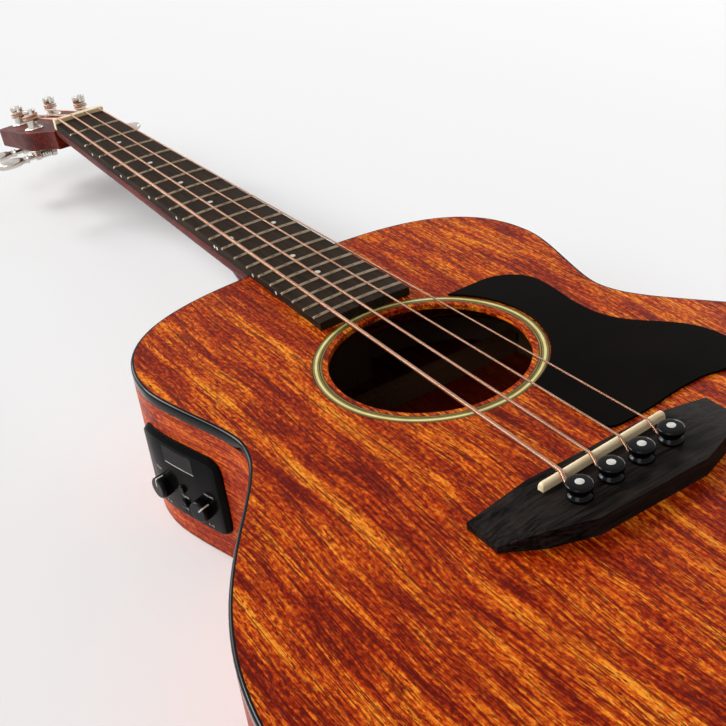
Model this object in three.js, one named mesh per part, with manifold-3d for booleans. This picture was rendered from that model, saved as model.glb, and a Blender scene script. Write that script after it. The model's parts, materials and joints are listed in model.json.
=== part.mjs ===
// Short-scale acoustic bass guitar with four strings and an on-board preamp.
// Millimetres. +X runs from the headstock to the tail, +Y to the treble side, +Z out of the top.
// The origin lies on the back's outer face, on the centre line, below the end of the nominal scale.

import * as THREE from "three";
import { mergeVertices } from "three/addons/utils/BufferGeometryUtils.js";
import Module from "manifold-3d";

const wasm = await Module();
wasm.setup();

// Clearance between pieces that touch, and how far a cutting tool runs past what it cuts
const fit_gap = 0.3;
const overrun = 1;

// Scale, fingerboard and frets
const scale_length = 597;
const fret_count = 20;
const joint_fret = 14;
const nut_width = 40.4;
const twelfth_fret_width = 52;
const board_thickness = 5.4;
const board_radius = 400;
const board_past_last_fret = 7.4;
const fret_height = 1;
const fret_width = 2.4;
const fret_root = 0.4;
const board_facets = 4;

// Body outline: stations are measured from the neck joint
const body_length = 450;
const upper_bout_width = 248.8;
const upper_bout_station = 71.7;
const waist_width = 218.6;
const waist_station = 144.7;
const lower_bout_width = 367.8;
const lower_bout_station = 323.8;
const shoulder_share = 0.307;
const upper_front_share = 1.069;
const upper_rear_share = 0.269;
const waist_front_share = 0.231;
const waist_rear_share = 0.229;
const lower_front_share = 0.566;
const lower_rear_share = 0.595;
const tail_share = 0.573;
const outline_steps = [11, 12, 9, 9];

// Body shell
const body_depth = 85;
const top_thickness = 2.8;
const back_thickness = 2.8;
const side_thickness = 2.5;
const binding_width = 1.6;
const binding_height = 5.8;
const lining_width = 6;
const lining_height = 14;
const lining_foot = 2;
const block_length = 26;
const neck_block_width = 62;
const tail_block_width = 76;

// Soundhole, rosette and pickguard; the hole's share is of the way from the neck joint to the bridge
const soundhole_radius = 50.8;
const soundhole_share = 0.538;
const rosette_inner_radius = 53.8;
const rosette_outer_radius = 59;
const rosette_depth = 1.4;
const round_steps = 44;
const small_round_steps = 12;
const bore_steps = 12;
const curve_steps = 8;
const guard_thickness = 1;
const guard_rosette_gap = 0.4;
const guard_start_angle = Math.PI * 0.75;
const guard_end_angle = Math.PI * 0.11;
const guard_horn_y = 64;
const guard_shoulder_before_hole = 19.2;
const guard_shoulder_y = 87.5;
const guard_dip_past_hole = 17.8;
const guard_dip_y = 85;
const guard_crest_before_bridge = 31.5;
const guard_crest_y = 114.5;
const guard_tail_before_bridge = 12.5;
const guard_tail_y = 106;
const guard_foot_y = 20.5;
const guard_corner = 7;
const guard_horn_share = 0.6;

// Braces inside the body
const brace_width = 8;
const brace_height = 13;
const brace_cross_share = 0.37;
const brace_angle = Math.PI * 0.267;
const brace_front_reach = 108;
const brace_rear_reach = 200;
const transverse_brace_station = 69.9;
const upper_back_brace_station = 60.9;
const middle_back_brace_station = 170.9;
const lower_back_brace_station = 325.9;
const bridge_plate_front_x = -10;
const bridge_plate_rear_x = 36;
const bridge_plate_thickness = 2.5;
const bridge_plate_half_width = 92;

// Bridge, saddle and pins
const bridge_length = 133;
const bridge_thickness = 8.5;
const bridge_tip_thickness = 3;
const bridge_front_x = -4.5;
const bridge_tip_width = 19.5;
const bridge_belly_width = 37;
const bridge_belly_y = 29;
const bridge_front_crease_y = 36;
const bridge_rear_crease_y = 50;
const bridge_rear_crease_width = 30;
const saddle_x = 2.3;
const saddle_slant = 0.07;
const saddle_length = 72;
const saddle_thickness = 3.2;
const saddle_over_frets = 5.9;
const saddle_slot_depth = 5;
const saddle_steps = 4;
const pickup_thickness = 1.2;
const saddle_spacing = 17;
const pin_spacing = 17.7;
const pin_setback = 13.5;
const pin_shank_radius = 2.8;
const pin_collar_radius = 4.8;
const pin_head_radius = 5.6;
const pin_height = 7.6;
const pin_collar_share = 0.18;
const pin_waist_share = 0.26;
const pin_waist_radius = 4.1;
const pin_widest_share = 0.55;
const pin_shoulder_share = 0.85;
const pin_shoulder_radius = 4.5;
const pin_dot_radius = 2.2;

// Nut, neck and headstock
const nut_spacing = 11;
const nut_thickness = 5;
const nut_over_frets = 1.7;
const nut_slot_over_frets = 0.5;
const neck_depth_at_nut = 15;
const neck_depth_at_heel = 18.5;
const neck_lip = 1;
const neck_fullness = 0.85;
const heel_bottom_z = 3;
const heel_half_width_top = 25;
const heel_half_width_bottom = 15;
const heel_length_top = 78;
const heel_length_bottom = 22;
const heel_width_power = 1.5;
const heel_length_power = 4;
const head_tilt = Math.PI * 0.071;
const head_drop = 1.3;
const head_thickness = 15;
const head_length = 145;
const head_half_width_nut = 21.5;
const head_half_width_ears = 33;
const head_half_width_end = 31;
const head_ear_share = 0.4138;
const head_shoulder_share = 0.45;
const head_crown = 6;
const rod_width = 6;
const rod_height = 9;
const rod_cover_depth = 2;
const rod_nut_radius = 2.2;
const rod_nut_sides = 6;
const rod_head_margin = 14;

// Strings
const e_string_diameter = 2;
const a_string_diameter = 1.5;
const d_string_diameter = 1.15;
const g_string_diameter = 0.95;
const ball_radius = 2.6;
const ball_height = 4;
const string_sides = 6;
const winding_height = 6;
const winding_loops = 2;
const loop_steps = 24;
const winding_gap = 0.5;
const string_ramp_depth = 3.5;

// Tuners
const near_post_share = 0.3862;
const far_post_share = 0.8414;
const near_post_offset = 21.6;
const far_post_offset = 14.8;
const post_radius = 4.2;
const post_head_radius = 5.2;
const post_height = 16.4;
const post_rim = 0.8;
const post_fork_width = 2.4;
const post_fork_depth = 5;
const bushing_radius = 6;
const bushing_depth = 8;
const flange_radius = 7.8;
const flange_height = 2.2;
const gear_teeth = 18;
const gear_radius = 8.4;
const gear_thickness = 4;
const tooth_depth = 0.9;
const worm_radius = 3;
const worm_length = 9;
const tuner_shaft_radius = 1.9;
const tuner_plate_thickness = 1.5;
const tuner_plate_margin = 4;
const ear_thickness = 4;
const ear_half_width = 3.4;
const button_length = 22;
const button_radius = 10;
const button_flat_share = 0.4;
const button_edge_gap = 1;
const button_collar_length = 4;
const button_collar_radius = 3.4;
const button_collar_tip_radius = 2.7;

// Preamp on the bass side
const preamp_front_station = 62.9;
const preamp_rear_station = 125.1;
const preamp_top_drop = 21.2;
const preamp_height = 46.5;
const panel_thickness = 3;
const panel_corner = 8;
const panel_bevel = 2.6;
const panel_edge_rise = 1;
const box_margin = 4;
const box_depth = 30;
const box_wall = 1.6;
const window_station = 94.9;
const window_drop = 31;
const window_width = 23;
const window_height = 9;
const window_thickness = 1;
const volume_knob_station = 109.4;
const tone_knob_station = 78.4;
const knob_drop = 54;
const knob_radius = 6;
const knob_height = 5;
const knob_edge = 0.8;
const knob_shaft_radius = 2.6;
const knob_shaft_length = 10;
const switch_station = 93.9;
const switch_radius = 2.3;
const switch_rise = 1.4;
const switch_pitch = 9;
const battery_length = 48;
const battery_width = 26;
const battery_depth = 17;

// End-pin jack and strap button
const jack_z = 42.5;
const jack_barrel_radius = 6;
const jack_bore_radius = 3.3;
const jack_flange_radius = 9;
const jack_neck_radius = 6.2;
const jack_length_outside = 11;
const jack_wall = 2;
const strap_button_before_joint = 17.1;
const strap_button_z = 34;
const strap_button_radius = 7;
const strap_foot_radius = 6.3;
const strap_waist_radius = 4.2;
const strap_button_height = 12;
const strap_screw_radius = 1.8;
const strap_screw_length = 14;

// Derived levels and places
const top_z = body_depth;
const top_under_z = top_z - top_thickness;
const board_under_z = top_z + fit_gap;
const board_top_z = board_under_z + board_thickness;
const fret_plane_z = board_top_z + fret_height;
const bridge_under_z = top_z + fit_gap;
const bridge_top_z = bridge_under_z + bridge_thickness;
const saddle_top_z = fret_plane_z + saddle_over_frets;
const bridge_plate_under_z = top_under_z - fit_gap - bridge_plate_thickness;
const rod_top_z = top_z - rod_cover_depth;
const rod_nut_z = rod_top_z - rod_height + rod_nut_radius + fit_gap;
const nut_rear_x = -scale_length - nut_thickness;
const head_ear_station = head_length * head_ear_share;
const preamp_top_z = top_z - preamp_top_drop;
const preamp_bottom_z = preamp_top_z - preamp_height;
const window_z = top_z - window_drop;
const knob_z = top_z - knob_drop;
const joint_x = fretX(joint_fret);
const soundhole_x = joint_x * (1 - soundhole_share);
const guard_shoulder_x = soundhole_x - guard_shoulder_before_hole;
const guard_dip_x = soundhole_x + guard_dip_past_hole;
const guard_crest_x = bridge_front_x - guard_crest_before_bridge;
const guard_tail_x = bridge_front_x - guard_tail_before_bridge;
const hole_rear_x = soundhole_x + soundhole_radius;
const brace_cross_x = hole_rear_x + (bridge_front_x - hole_rear_x) * brace_cross_share;
const transverse_brace_x = joint_x + transverse_brace_station;
const preamp_front_x = joint_x + preamp_front_station;
const preamp_rear_x = joint_x + preamp_rear_station;
const window_x = joint_x + window_station;
const volume_knob_x = joint_x + volume_knob_station;
const tone_knob_x = joint_x + tone_knob_station;
const switch_x = joint_x + switch_station;
const strap_button_x = joint_x - strap_button_before_joint;
const tail_x = joint_x + body_length;
const neck_end_x = joint_x - fit_gap;
const heel_top_z = top_z - neck_depth_at_heel / 2;

function fretX(n) {
  return -scale_length * 2 ** (-n / 12);
}

function boardHalfWidth(x) {
  const along = (x + scale_length) / (scale_length / 2);
  return (nut_width + (twelfth_fret_width - nut_width) * along) / 2;
}

function saddleX(y) {
  return saddle_x - saddle_slant * y;
}

// Materials
function finish(color, roughness, metalness = 0) {
  return new THREE.MeshStandardMaterial({ color, roughness, metalness });
}

const mahogany = finish("#a8441c", 0.35);
const dark_mahogany = finish("#6b2a16", 0.4);
const spruce = finish("#c9a36a", 0.7);
const ebony = finish("#241d1a", 0.45);
const black_plastic = finish("#0d0d0e", 0.25);
const bone = finish("#e8dcbc", 0.4);
const nickel = finish("#c8c6c2", 0.2, 1);
const bronze = finish("#c98d6a", 0.3, 1);
const cream_ring = finish("#cdbf86", 0.4);
const smoked_glass = finish("#1a1c20", 0.1);
const steel = finish("#8d8f92", 0.4, 1);

// Closed solids and boolean work
function signedVolume(positions, index) {
  const [a, b, c] = [new THREE.Vector3(), new THREE.Vector3(), new THREE.Vector3()];
  let sum = 0;
  for (let i = 0; i < index.length; i += 3) {
    a.fromArray(positions, index[i] * 3);
    b.fromArray(positions, index[i + 1] * 3);
    c.fromArray(positions, index[i + 2] * 3);
    sum += a.dot(b.cross(c));
  }
  return sum / 6;
}

function closed(geometry) {
  const bare = new THREE.BufferGeometry();
  bare.setAttribute("position", geometry.getAttribute("position"));
  bare.setIndex(geometry.index);
  const merged = mergeVertices(bare);
  const positions = merged.getAttribute("position").array;
  const source = merged.index.array;
  const index = [];
  for (let i = 0; i < source.length; i += 3) {
    const [a, b, c] = source.slice(i, i + 3);
    if (a !== b && b !== c && c !== a) index.push(a, b, c);
  }
  if (signedVolume(positions, index) < 0) index.reverse();
  merged.setIndex(index);
  return merged;
}

function toManifold(geometry) {
  const clean = closed(geometry);
  return new wasm.Manifold(
    new wasm.Mesh({
      numProp: 3,
      vertProperties: new Float32Array(clean.getAttribute("position").array),
      triVerts: new Uint32Array(clean.index.array),
    }),
  );
}

function fromManifold(solid) {
  const mesh = solid.getMesh();
  const geometry = new THREE.BufferGeometry();
  geometry.setAttribute("position", new THREE.BufferAttribute(new Float32Array(mesh.vertProperties), 3));
  geometry.setIndex(new THREE.BufferAttribute(new Uint32Array(mesh.triVerts), 1));
  return geometry;
}

function cut(geometry, ...tools) {
  return fromManifold(tools.reduce((solid, tool) => solid.subtract(toManifold(tool)), toManifold(geometry)));
}

function join(geometry, ...others) {
  return fromManifold(others.reduce((solid, other) => solid.add(toManifold(other)), toManifold(geometry)));
}

function common(geometry, other) {
  return fromManifold(toManifold(geometry).intersect(toManifold(other)));
}

// Sections are loops of points, all with the same count; the ends are closed unless it is a ring
function loft(sections, { ring = false, cap = null } = {}) {
  const count = sections[0].length;
  const index = [];
  const spans = ring ? sections.length : sections.length - 1;
  for (let i = 0; i < spans; i++) {
    const here = i * count;
    const next = ((i + 1) % sections.length) * count;
    for (let j = 0; j < count; j++) {
      const k = (j + 1) % count;
      index.push(here + j, here + k, next + k, here + j, next + k, next + j);
    }
  }
  if (!ring) {
    const last = (sections.length - 1) * count;
    const fan = Array.from({ length: count - 2 }, (_, j) => [0, j + 1, j + 2]);
    for (const [a, b, c] of cap ?? fan) {
      index.push(c, b, a, last + a, last + b, last + c);
    }
  }
  const geometry = new THREE.BufferGeometry().setFromPoints(sections.flat());
  geometry.setIndex(index);
  return closed(geometry);
}

function slab(shape, bottom, top) {
  const options = { depth: top - bottom, bevelEnabled: false, curveSegments: curve_steps };
  return new THREE.ExtrudeGeometry(shape, options).translate(0, 0, bottom);
}

function block(x0, x1, y0, y1, z0, z1) {
  const geometry = new THREE.BoxGeometry(x1 - x0, y1 - y0, z1 - z0);
  return geometry.translate((x0 + x1) / 2, (y0 + y1) / 2, (z0 + z1) / 2);
}

// Profile points are [radius, height]; the axis becomes Z
function turned(profile, steps) {
  const points = profile.map(([radius, height]) => new THREE.Vector2(radius, height));
  return closed(new THREE.LatheGeometry(points, steps).rotateX(Math.PI / 2));
}

function rod(radius, bottom, top, steps) {
  return turned([[0, bottom], [radius, bottom], [radius, top], [0, top]], steps);
}

function tube(inner, outer, bottom, top, steps) {
  return turned([[inner, bottom], [outer, bottom], [outer, top], [inner, top], [inner, bottom]], steps);
}

// Body outline: the treble half from the neck joint to the tail, with the inward normal at each point
function outlineCurves() {
  const upper = upper_bout_width / 2;
  const waist = waist_width / 2;
  const lower = lower_bout_width / 2;
  const front_span = waist_station - upper_bout_station;
  const rear_span = lower_bout_station - waist_station;
  const tail_span = body_length - lower_bout_station;
  const controls = [
    [0, 0],
    [0, upper * shoulder_share],
    [upper_bout_station * (1 - upper_front_share), upper],
    [upper_bout_station, upper],
    [upper_bout_station + front_span * upper_rear_share, upper],
    [waist_station - front_span * waist_front_share, waist],
    [waist_station, waist],
    [waist_station + rear_span * waist_rear_share, waist],
    [lower_bout_station - rear_span * lower_front_share, lower],
    [lower_bout_station, lower],
    [lower_bout_station + tail_span * lower_rear_share, lower],
    [body_length, lower * tail_share],
    [body_length, 0],
  ].map(([x, y]) => new THREE.Vector2(joint_x + x, y));
  return outline_steps.map((_, i) => new THREE.CubicBezierCurve(...controls.slice(i * 3, i * 3 + 4)));
}

function outlineSamples() {
  const samples = [];
  outlineCurves().forEach((curve, i) => {
    const last = i === outline_steps.length - 1;
    for (let k = 0; k < outline_steps[i] + (last ? 1 : 0); k++) {
      const t = k / outline_steps[i];
      const point = curve.getPoint(t);
      const tangent = curve.getTangent(t);
      samples.push({ x: point.x, y: point.y, nx: tangent.y, ny: -tangent.x });
    }
  });
  return samples;
}

const half_outline = outlineSamples();

function outlinePoint(sample, inset, side) {
  return new THREE.Vector2(sample.x + sample.nx * inset, side * (sample.y + sample.ny * inset));
}

function outlineShape(inset) {
  const treble = half_outline.map((sample) => outlinePoint(sample, inset, 1));
  const bass = half_outline.slice(1, -1).map((sample) => outlinePoint(sample, inset, -1));
  return new THREE.Shape([...treble, ...bass.reverse()]);
}

// The half outline's point and normal at a given x, between its samples
function outlineAt(x) {
  const i = half_outline.findIndex((sample) => sample.x > x);
  const [a, b] = [half_outline[i - 1], half_outline[i]];
  const t = (x - a.x) / (b.x - a.x);
  const blend = (key) => a[key] + (b[key] - a[key]) * t;
  const length = Math.hypot(blend("nx"), blend("ny"));
  return { x, y: blend("y"), nx: blend("nx") / length, ny: blend("ny") / length };
}

// A rail follows one half of the outline; its section's points are [inset, height]
function rail(section, side) {
  const flat = section.map(([inset, z]) => new THREE.Vector2(inset, z));
  if (THREE.ShapeUtils.isClockWise(flat)) flat.reverse();
  const cap = THREE.ShapeUtils.triangulateShape(flat, []);
  const seam = fit_gap / 2;
  const sections = half_outline.map((sample, i) => {
    const at_seam = i === 0 || i === half_outline.length - 1;
    return flat.map((point) => {
      const place = outlinePoint(sample, point.x, side);
      return new THREE.Vector3(place.x, at_seam ? side * seam : place.y, point.y);
    });
  });
  return loft(sections, { cap });
}

function ringRail(section) {
  const treble = half_outline.map((sample) => [sample, 1]);
  const bass = half_outline.slice(1, -1).map((sample) => [sample, -1]);
  const sections = [...treble, ...bass.reverse()].map(([sample, side]) =>
    section.map(([inset, z]) => {
      const place = outlinePoint(sample, inset, side);
      return new THREE.Vector3(place.x, place.y, z);
    }),
  );
  return loft(sections, { ring: true });
}

const inner_face = side_thickness + fit_gap;
const brace_end_inset = inner_face + lining_width + fit_gap;
const chamber_bottom_z = back_thickness + fit_gap;
const chamber_top_z = top_under_z - fit_gap;

// Where each string runs
const near_post = { station: head_length * near_post_share, offset: near_post_offset };
const far_post = { station: head_length * far_post_share, offset: far_post_offset };
const string_table = [
  { name: "E", step: -1.5, diameter: e_string_diameter, post: near_post },
  { name: "A", step: -0.5, diameter: a_string_diameter, post: far_post },
  { name: "D", step: 0.5, diameter: d_string_diameter, post: far_post },
  { name: "G", step: 1.5, diameter: g_string_diameter, post: near_post },
];

const head_frame = new THREE.Matrix4()
  .makeTranslation(nut_rear_x, 0, top_z - head_drop)
  .multiply(new THREE.Matrix4().makeRotationY(-head_tilt));

function pinPlace(step) {
  const y = step * pin_spacing;
  return new THREE.Vector2(saddleX(y) + pin_setback, y);
}

// Points of a rounded corner at b, between a and c
function rounded(a, b, c, size, steps) {
  const start = b.clone().add(a.clone().sub(b).setLength(size));
  const end = b.clone().add(c.clone().sub(b).setLength(size));
  return new THREE.QuadraticBezierCurve3(start, b, end).getPoints(steps);
}

function postPlace(string) {
  return new THREE.Vector2(-string.post.station, Math.sign(string.step) * string.post.offset);
}

// The winding climbs its post; it starts where the straight run touches the post
function windingPoints(string, entry, bottom) {
  const radius = string.diameter / 2;
  const side = Math.sign(string.step);
  const reach = post_radius + fit_gap + radius;
  const centre = postPlace(string);
  const away = new THREE.Vector2(entry.x, entry.y).sub(centre);
  const start = away.angle() - side * Math.acos(reach / away.length());
  const pitch = radius * 2 + winding_gap;
  const points = [];
  for (let i = 0; i <= winding_loops * loop_steps; i++) {
    const turn = i / loop_steps;
    const angle = start - side * turn * 2 * Math.PI;
    const x = centre.x + reach * Math.cos(angle);
    const y = centre.y + reach * Math.sin(angle);
    points.push(new THREE.Vector3(x, y, bottom + turn * pitch));
  }
  const [before, last] = points.slice(-2);
  points.push(last.clone().add(last.clone().sub(before).setLength(radius * 2)));
  return points;
}

// Least distance between the surfaces of neighbouring loops, measured on their points
function leastWindingGap(points, radius) {
  let least = Infinity;
  for (let i = 0; i < points.length; i++) {
    for (let j = i + loop_steps / 2; j < points.length; j++) {
      least = Math.min(least, points[i].distanceTo(points[j]) - radius * 2);
    }
  }
  return least;
}

function saddleArc(string, radius, slope) {
  const y = string.step * saddle_spacing;
  const crown = saddle_thickness / 2;
  const bend = crown + fit_gap + radius;
  const points = [];
  const arc_steps = 4;
  for (let i = arc_steps; i >= 0; i--) {
    const angle = (slope * i) / arc_steps;
    const x = saddleX(y) + bend * Math.sin(angle);
    points.push(new THREE.Vector3(x, y, saddle_top_z - crown + bend * Math.cos(angle)));
  }
  return points;
}

// From the ball end through the bridge, over the saddle and the nut, and round the post
function stringPoints(string) {
  const radius = string.diameter / 2;
  const pin = pinPlace(string.step);
  const hole_x = pin.x - pin_shank_radius - fit_gap - radius;
  const ball = new THREE.Vector3(hole_x, pin.y, bridge_plate_under_z - fit_gap - ball_height / 2);
  const ramp = new THREE.Vector3(hole_x, pin.y, bridge_top_z - string_ramp_depth);
  const crest = new THREE.Vector3(saddleX(pin.y), string.step * saddle_spacing, saddle_top_z + radius);
  const slope = Math.atan2(crest.z - ramp.z, ramp.x - crest.x);
  const nut_z = fret_plane_z + nut_slot_over_frets + fit_gap + radius;
  const nut_point = new THREE.Vector3(-scale_length - fit_gap, string.step * nut_spacing, nut_z);
  const entry = nut_point.clone().applyMatrix4(head_frame.clone().invert());
  const bottom = winding_height + radius;
  const winding = windingPoints(string, entry, bottom);
  const gap = leastWindingGap(winding, radius);
  console.log("string " + string.name + ": least gap between its loops " + gap.toFixed(2) + " mm");
  const over_saddle = saddleArc(string, radius, slope);
  const on_head = winding.map((point) => point.applyMatrix4(head_frame));
  return [
    ball,
    ...rounded(ball, ramp, over_saddle[0], string.diameter, 3),
    ...over_saddle,
    ...rounded(over_saddle.at(-1), nut_point, on_head[0], string.diameter / 2, 2),
    ...on_head,
  ];
}

// A round tube along points, its section carried from point to point without twisting
function tubeAlong(points, radius) {
  const normal = new THREE.Vector3(0, 1, 0);
  const sections = points.map((point, i) => {
    const before = points[Math.max(i - 1, 0)];
    const after = points[Math.min(i + 1, points.length - 1)];
    const tangent = after.clone().sub(before).normalize();
    normal.addScaledVector(tangent, -normal.dot(tangent)).normalize();
    const binormal = tangent.clone().cross(normal);
    return Array.from({ length: string_sides }, (_, k) => {
      const angle = (k / string_sides) * 2 * Math.PI;
      const across = normal.clone().multiplyScalar(radius * Math.cos(angle));
      return across.addScaledVector(binormal, radius * Math.sin(angle)).add(point);
    });
  });
  return loft(sections);
}

const string_runs = string_table.map((string) => ({ ...string, points: stringPoints(string) }));

// A string's clearance, for what it passes through; its sides stay outside the string's own corners
function stringClearance(run) {
  const clear = (run.diameter / 2 + fit_gap) / Math.cos(Math.PI / string_sides);
  return tubeAlong(run.points.slice(0, -winding_loops * loop_steps - 1), clear);
}

function pinHole(run) {
  const pin = pinPlace(run.step);
  const radius = pin_shank_radius + fit_gap;
  const hole = rod(radius, bridge_plate_under_z - overrun, bridge_top_z + overrun, bore_steps);
  return hole.translate(pin.x, pin.y, 0);
}

const bridge_bores = string_runs.flatMap((run) => [pinHole(run), stringClearance(run)]);

const part = new THREE.Group();

function add(name, geometry, material, parent = part) {
  const mesh = new THREE.Mesh(closed(geometry), material);
  mesh.name = name;
  parent.add(mesh);
  return mesh;
}

// Top, back, sides and binding
function topPlate() {
  const shape = outlineShape(binding_width + fit_gap);
  const plate = slab(shape, top_under_z, top_z);
  const hole = rod(soundhole_radius, top_under_z - overrun, top_z + overrun, round_steps);
  const channel = tube(
    rosette_inner_radius - fit_gap,
    rosette_outer_radius + fit_gap,
    top_z - rosette_depth - fit_gap,
    top_z + overrun,
    round_steps,
  );
  const tools = [hole, channel].map((tool) => tool.translate(soundhole_x, 0, 0));
  return cut(plate, ...tools, ...bridge_bores);
}

function sideSection() {
  const ledge_z = top_z - binding_height - fit_gap;
  const ledge = binding_width + fit_gap;
  return [
    [0, chamber_bottom_z],
    [side_thickness, chamber_bottom_z],
    [side_thickness, chamber_top_z],
    [ledge, chamber_top_z],
    [ledge, ledge_z],
    [0, ledge_z],
  ];
}

function bindingSection() {
  return [
    [0, top_z - binding_height],
    [binding_width, top_z - binding_height],
    [binding_width, top_z],
    [0, top_z],
  ];
}

function rodAccess() {
  const bore = rod(rod_nut_radius + fit_gap * 2, -overrun, block_length * 2, bore_steps);
  return bore.rotateY(Math.PI / 2).translate(joint_x, 0, rod_nut_z);
}

function jackBore() {
  const bore = rod(jack_barrel_radius + fit_gap, -block_length * 2, overrun, small_round_steps);
  return bore.rotateY(Math.PI / 2).translate(tail_x, 0, jack_z);
}

add("top_plate", topPlate(), mahogany);
add("back_plate", slab(outlineShape(0), 0, back_thickness), mahogany);
add("side_treble", cut(rail(sideSection(), 1), rodAccess(), jackBore()), mahogany);
add("top_binding", ringRail(bindingSection()), black_plastic);

// Linings stop at the blocks
function lining(side, on_top) {
  const wall_z = on_top ? chamber_top_z : chamber_bottom_z;
  const inward = on_top ? -1 : 1;
  const section = [
    [inner_face, wall_z],
    [inner_face + lining_width, wall_z],
    [inner_face + lining_foot, wall_z + inward * lining_height],
    [inner_face, wall_z + inward * lining_height],
  ];
  const ends = [blockSpace(neck_block_width, joint_x), blockSpace(tail_block_width, tail_x)];
  return cut(rail(section, side), ...ends);
}

function blockSpace(width, x) {
  const half = width / 2 + fit_gap;
  return block(x - block_length * 2, x + block_length * 2, -half, half, -overrun, top_z + overrun);
}

for (const [name, side] of [["bass", -1], ["treble", 1]]) {
  add("top_lining_" + name, lining(side, true), spruce);
  add("back_lining_" + name, lining(side, false), spruce);
}

// Everything inside is trimmed to the chamber
function chamber(inset) {
  return slab(outlineShape(inset), chamber_bottom_z, chamber_top_z);
}

function endBlock(width, x0, x1, bore) {
  const half = width / 2;
  const body = block(x0, x1, -half, half, 0, top_z);
  return cut(common(body, chamber(inner_face)), bore);
}

const neck_block_end = joint_x + side_thickness + block_length;
const tail_block_end = tail_x - side_thickness - block_length;
add("neck_block", endBlock(neck_block_width, joint_x, neck_block_end, rodAccess()), spruce);
add("tail_block", endBlock(tail_block_width, tail_block_end, tail_x, jackBore()), spruce);

function crossBar(angle, width) {
  const half = width / 2;
  const bar = block(-brace_front_reach, brace_rear_reach, -half, half, chamber_top_z - brace_height, top_z);
  return bar.rotateZ(angle).translate(brace_cross_x, 0, 0);
}

function crossBrace() {
  const bars = join(crossBar(brace_angle, brace_width), crossBar(-brace_angle, brace_width));
  return common(bars, chamber(brace_end_inset));
}

function straightBrace(x, bottom, top) {
  const half = brace_width / 2;
  const reach = lower_bout_width;
  return common(block(x - half, x + half, -reach, reach, bottom, top), chamber(brace_end_inset));
}

function bridgePlate() {
  const plate = block(
    bridge_plate_front_x,
    bridge_plate_rear_x,
    -bridge_plate_half_width,
    bridge_plate_half_width,
    bridge_plate_under_z,
    chamber_top_z,
  );
  const clear = brace_width + fit_gap * 2;
  const wedge = [crossBar(brace_angle, clear), crossBar(-brace_angle, clear)];
  const outside = [1, -1].map((side) => {
    const half = bridge_plate_half_width * 2;
    const keep = block(-brace_front_reach, brace_rear_reach, 0, half, 0, top_z);
    const turned_keep = keep.rotateZ(brace_angle).translate(brace_cross_x, 0, 0);
    return side > 0 ? turned_keep : closed(turned_keep.clone().scale(1, -1, 1));
  });
  return cut(plate, ...wedge, ...outside, ...bridge_bores);
}

add("x_brace", crossBrace(), spruce);
add("transverse_brace", straightBrace(transverse_brace_x, chamber_top_z - brace_height, top_z), spruce);
add("bridge_plate", bridgePlate(), spruce);
const back_brace_stations = [
  upper_back_brace_station,
  middle_back_brace_station,
  lower_back_brace_station,
];
back_brace_stations.forEach((station, i) => {
  const brace = straightBrace(joint_x + station, 0, chamber_bottom_z + brace_height);
  add("back_brace_" + (i + 1), brace, spruce);
});

// Rosette and pickguard
const rosette = tube(rosette_inner_radius, rosette_outer_radius, top_z - rosette_depth, top_z, round_steps);
add("rosette", rosette.translate(soundhole_x, 0, 0), cream_ring);

function guardShape() {
  const radius = rosette_outer_radius + guard_rosette_gap;
  const shape = new THREE.Shape();
  const start_x = soundhole_x + radius * Math.cos(guard_start_angle);
  shape.moveTo(start_x, radius * Math.sin(guard_start_angle));
  shape.lineTo(start_x, guard_horn_y);
  const rise = guard_shoulder_y - guard_horn_y;
  shape.bezierCurveTo(
    start_x, guard_horn_y + rise * guard_horn_share,
    guard_shoulder_x - rise / 2, guard_shoulder_y,
    guard_shoulder_x, guard_shoulder_y,
  );
  const dip_x = (guard_dip_x + guard_shoulder_x) / 2;
  shape.bezierCurveTo(dip_x, guard_shoulder_y, dip_x, guard_dip_y, guard_dip_x, guard_dip_y);
  const sweep_x = (guard_crest_x + guard_dip_x) / 2;
  shape.bezierCurveTo(sweep_x, guard_dip_y, sweep_x, guard_crest_y, guard_crest_x, guard_crest_y);
  shape.quadraticCurveTo(guard_tail_x, guard_crest_y, guard_tail_x, guard_tail_y);
  shape.lineTo(guard_tail_x, guard_foot_y + guard_corner);
  shape.quadraticCurveTo(guard_tail_x, guard_foot_y, guard_tail_x - guard_corner, guard_foot_y);
  shape.lineTo(soundhole_x + radius * Math.cos(guard_end_angle), radius * Math.sin(guard_end_angle));
  shape.absarc(soundhole_x, 0, radius, guard_end_angle, guard_start_angle, false);
  return shape;
}

const guard_bottom_z = top_z + fit_gap;
add("pickguard", slab(guardShape(), guard_bottom_z, guard_bottom_z + guard_thickness), black_plastic);

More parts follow.
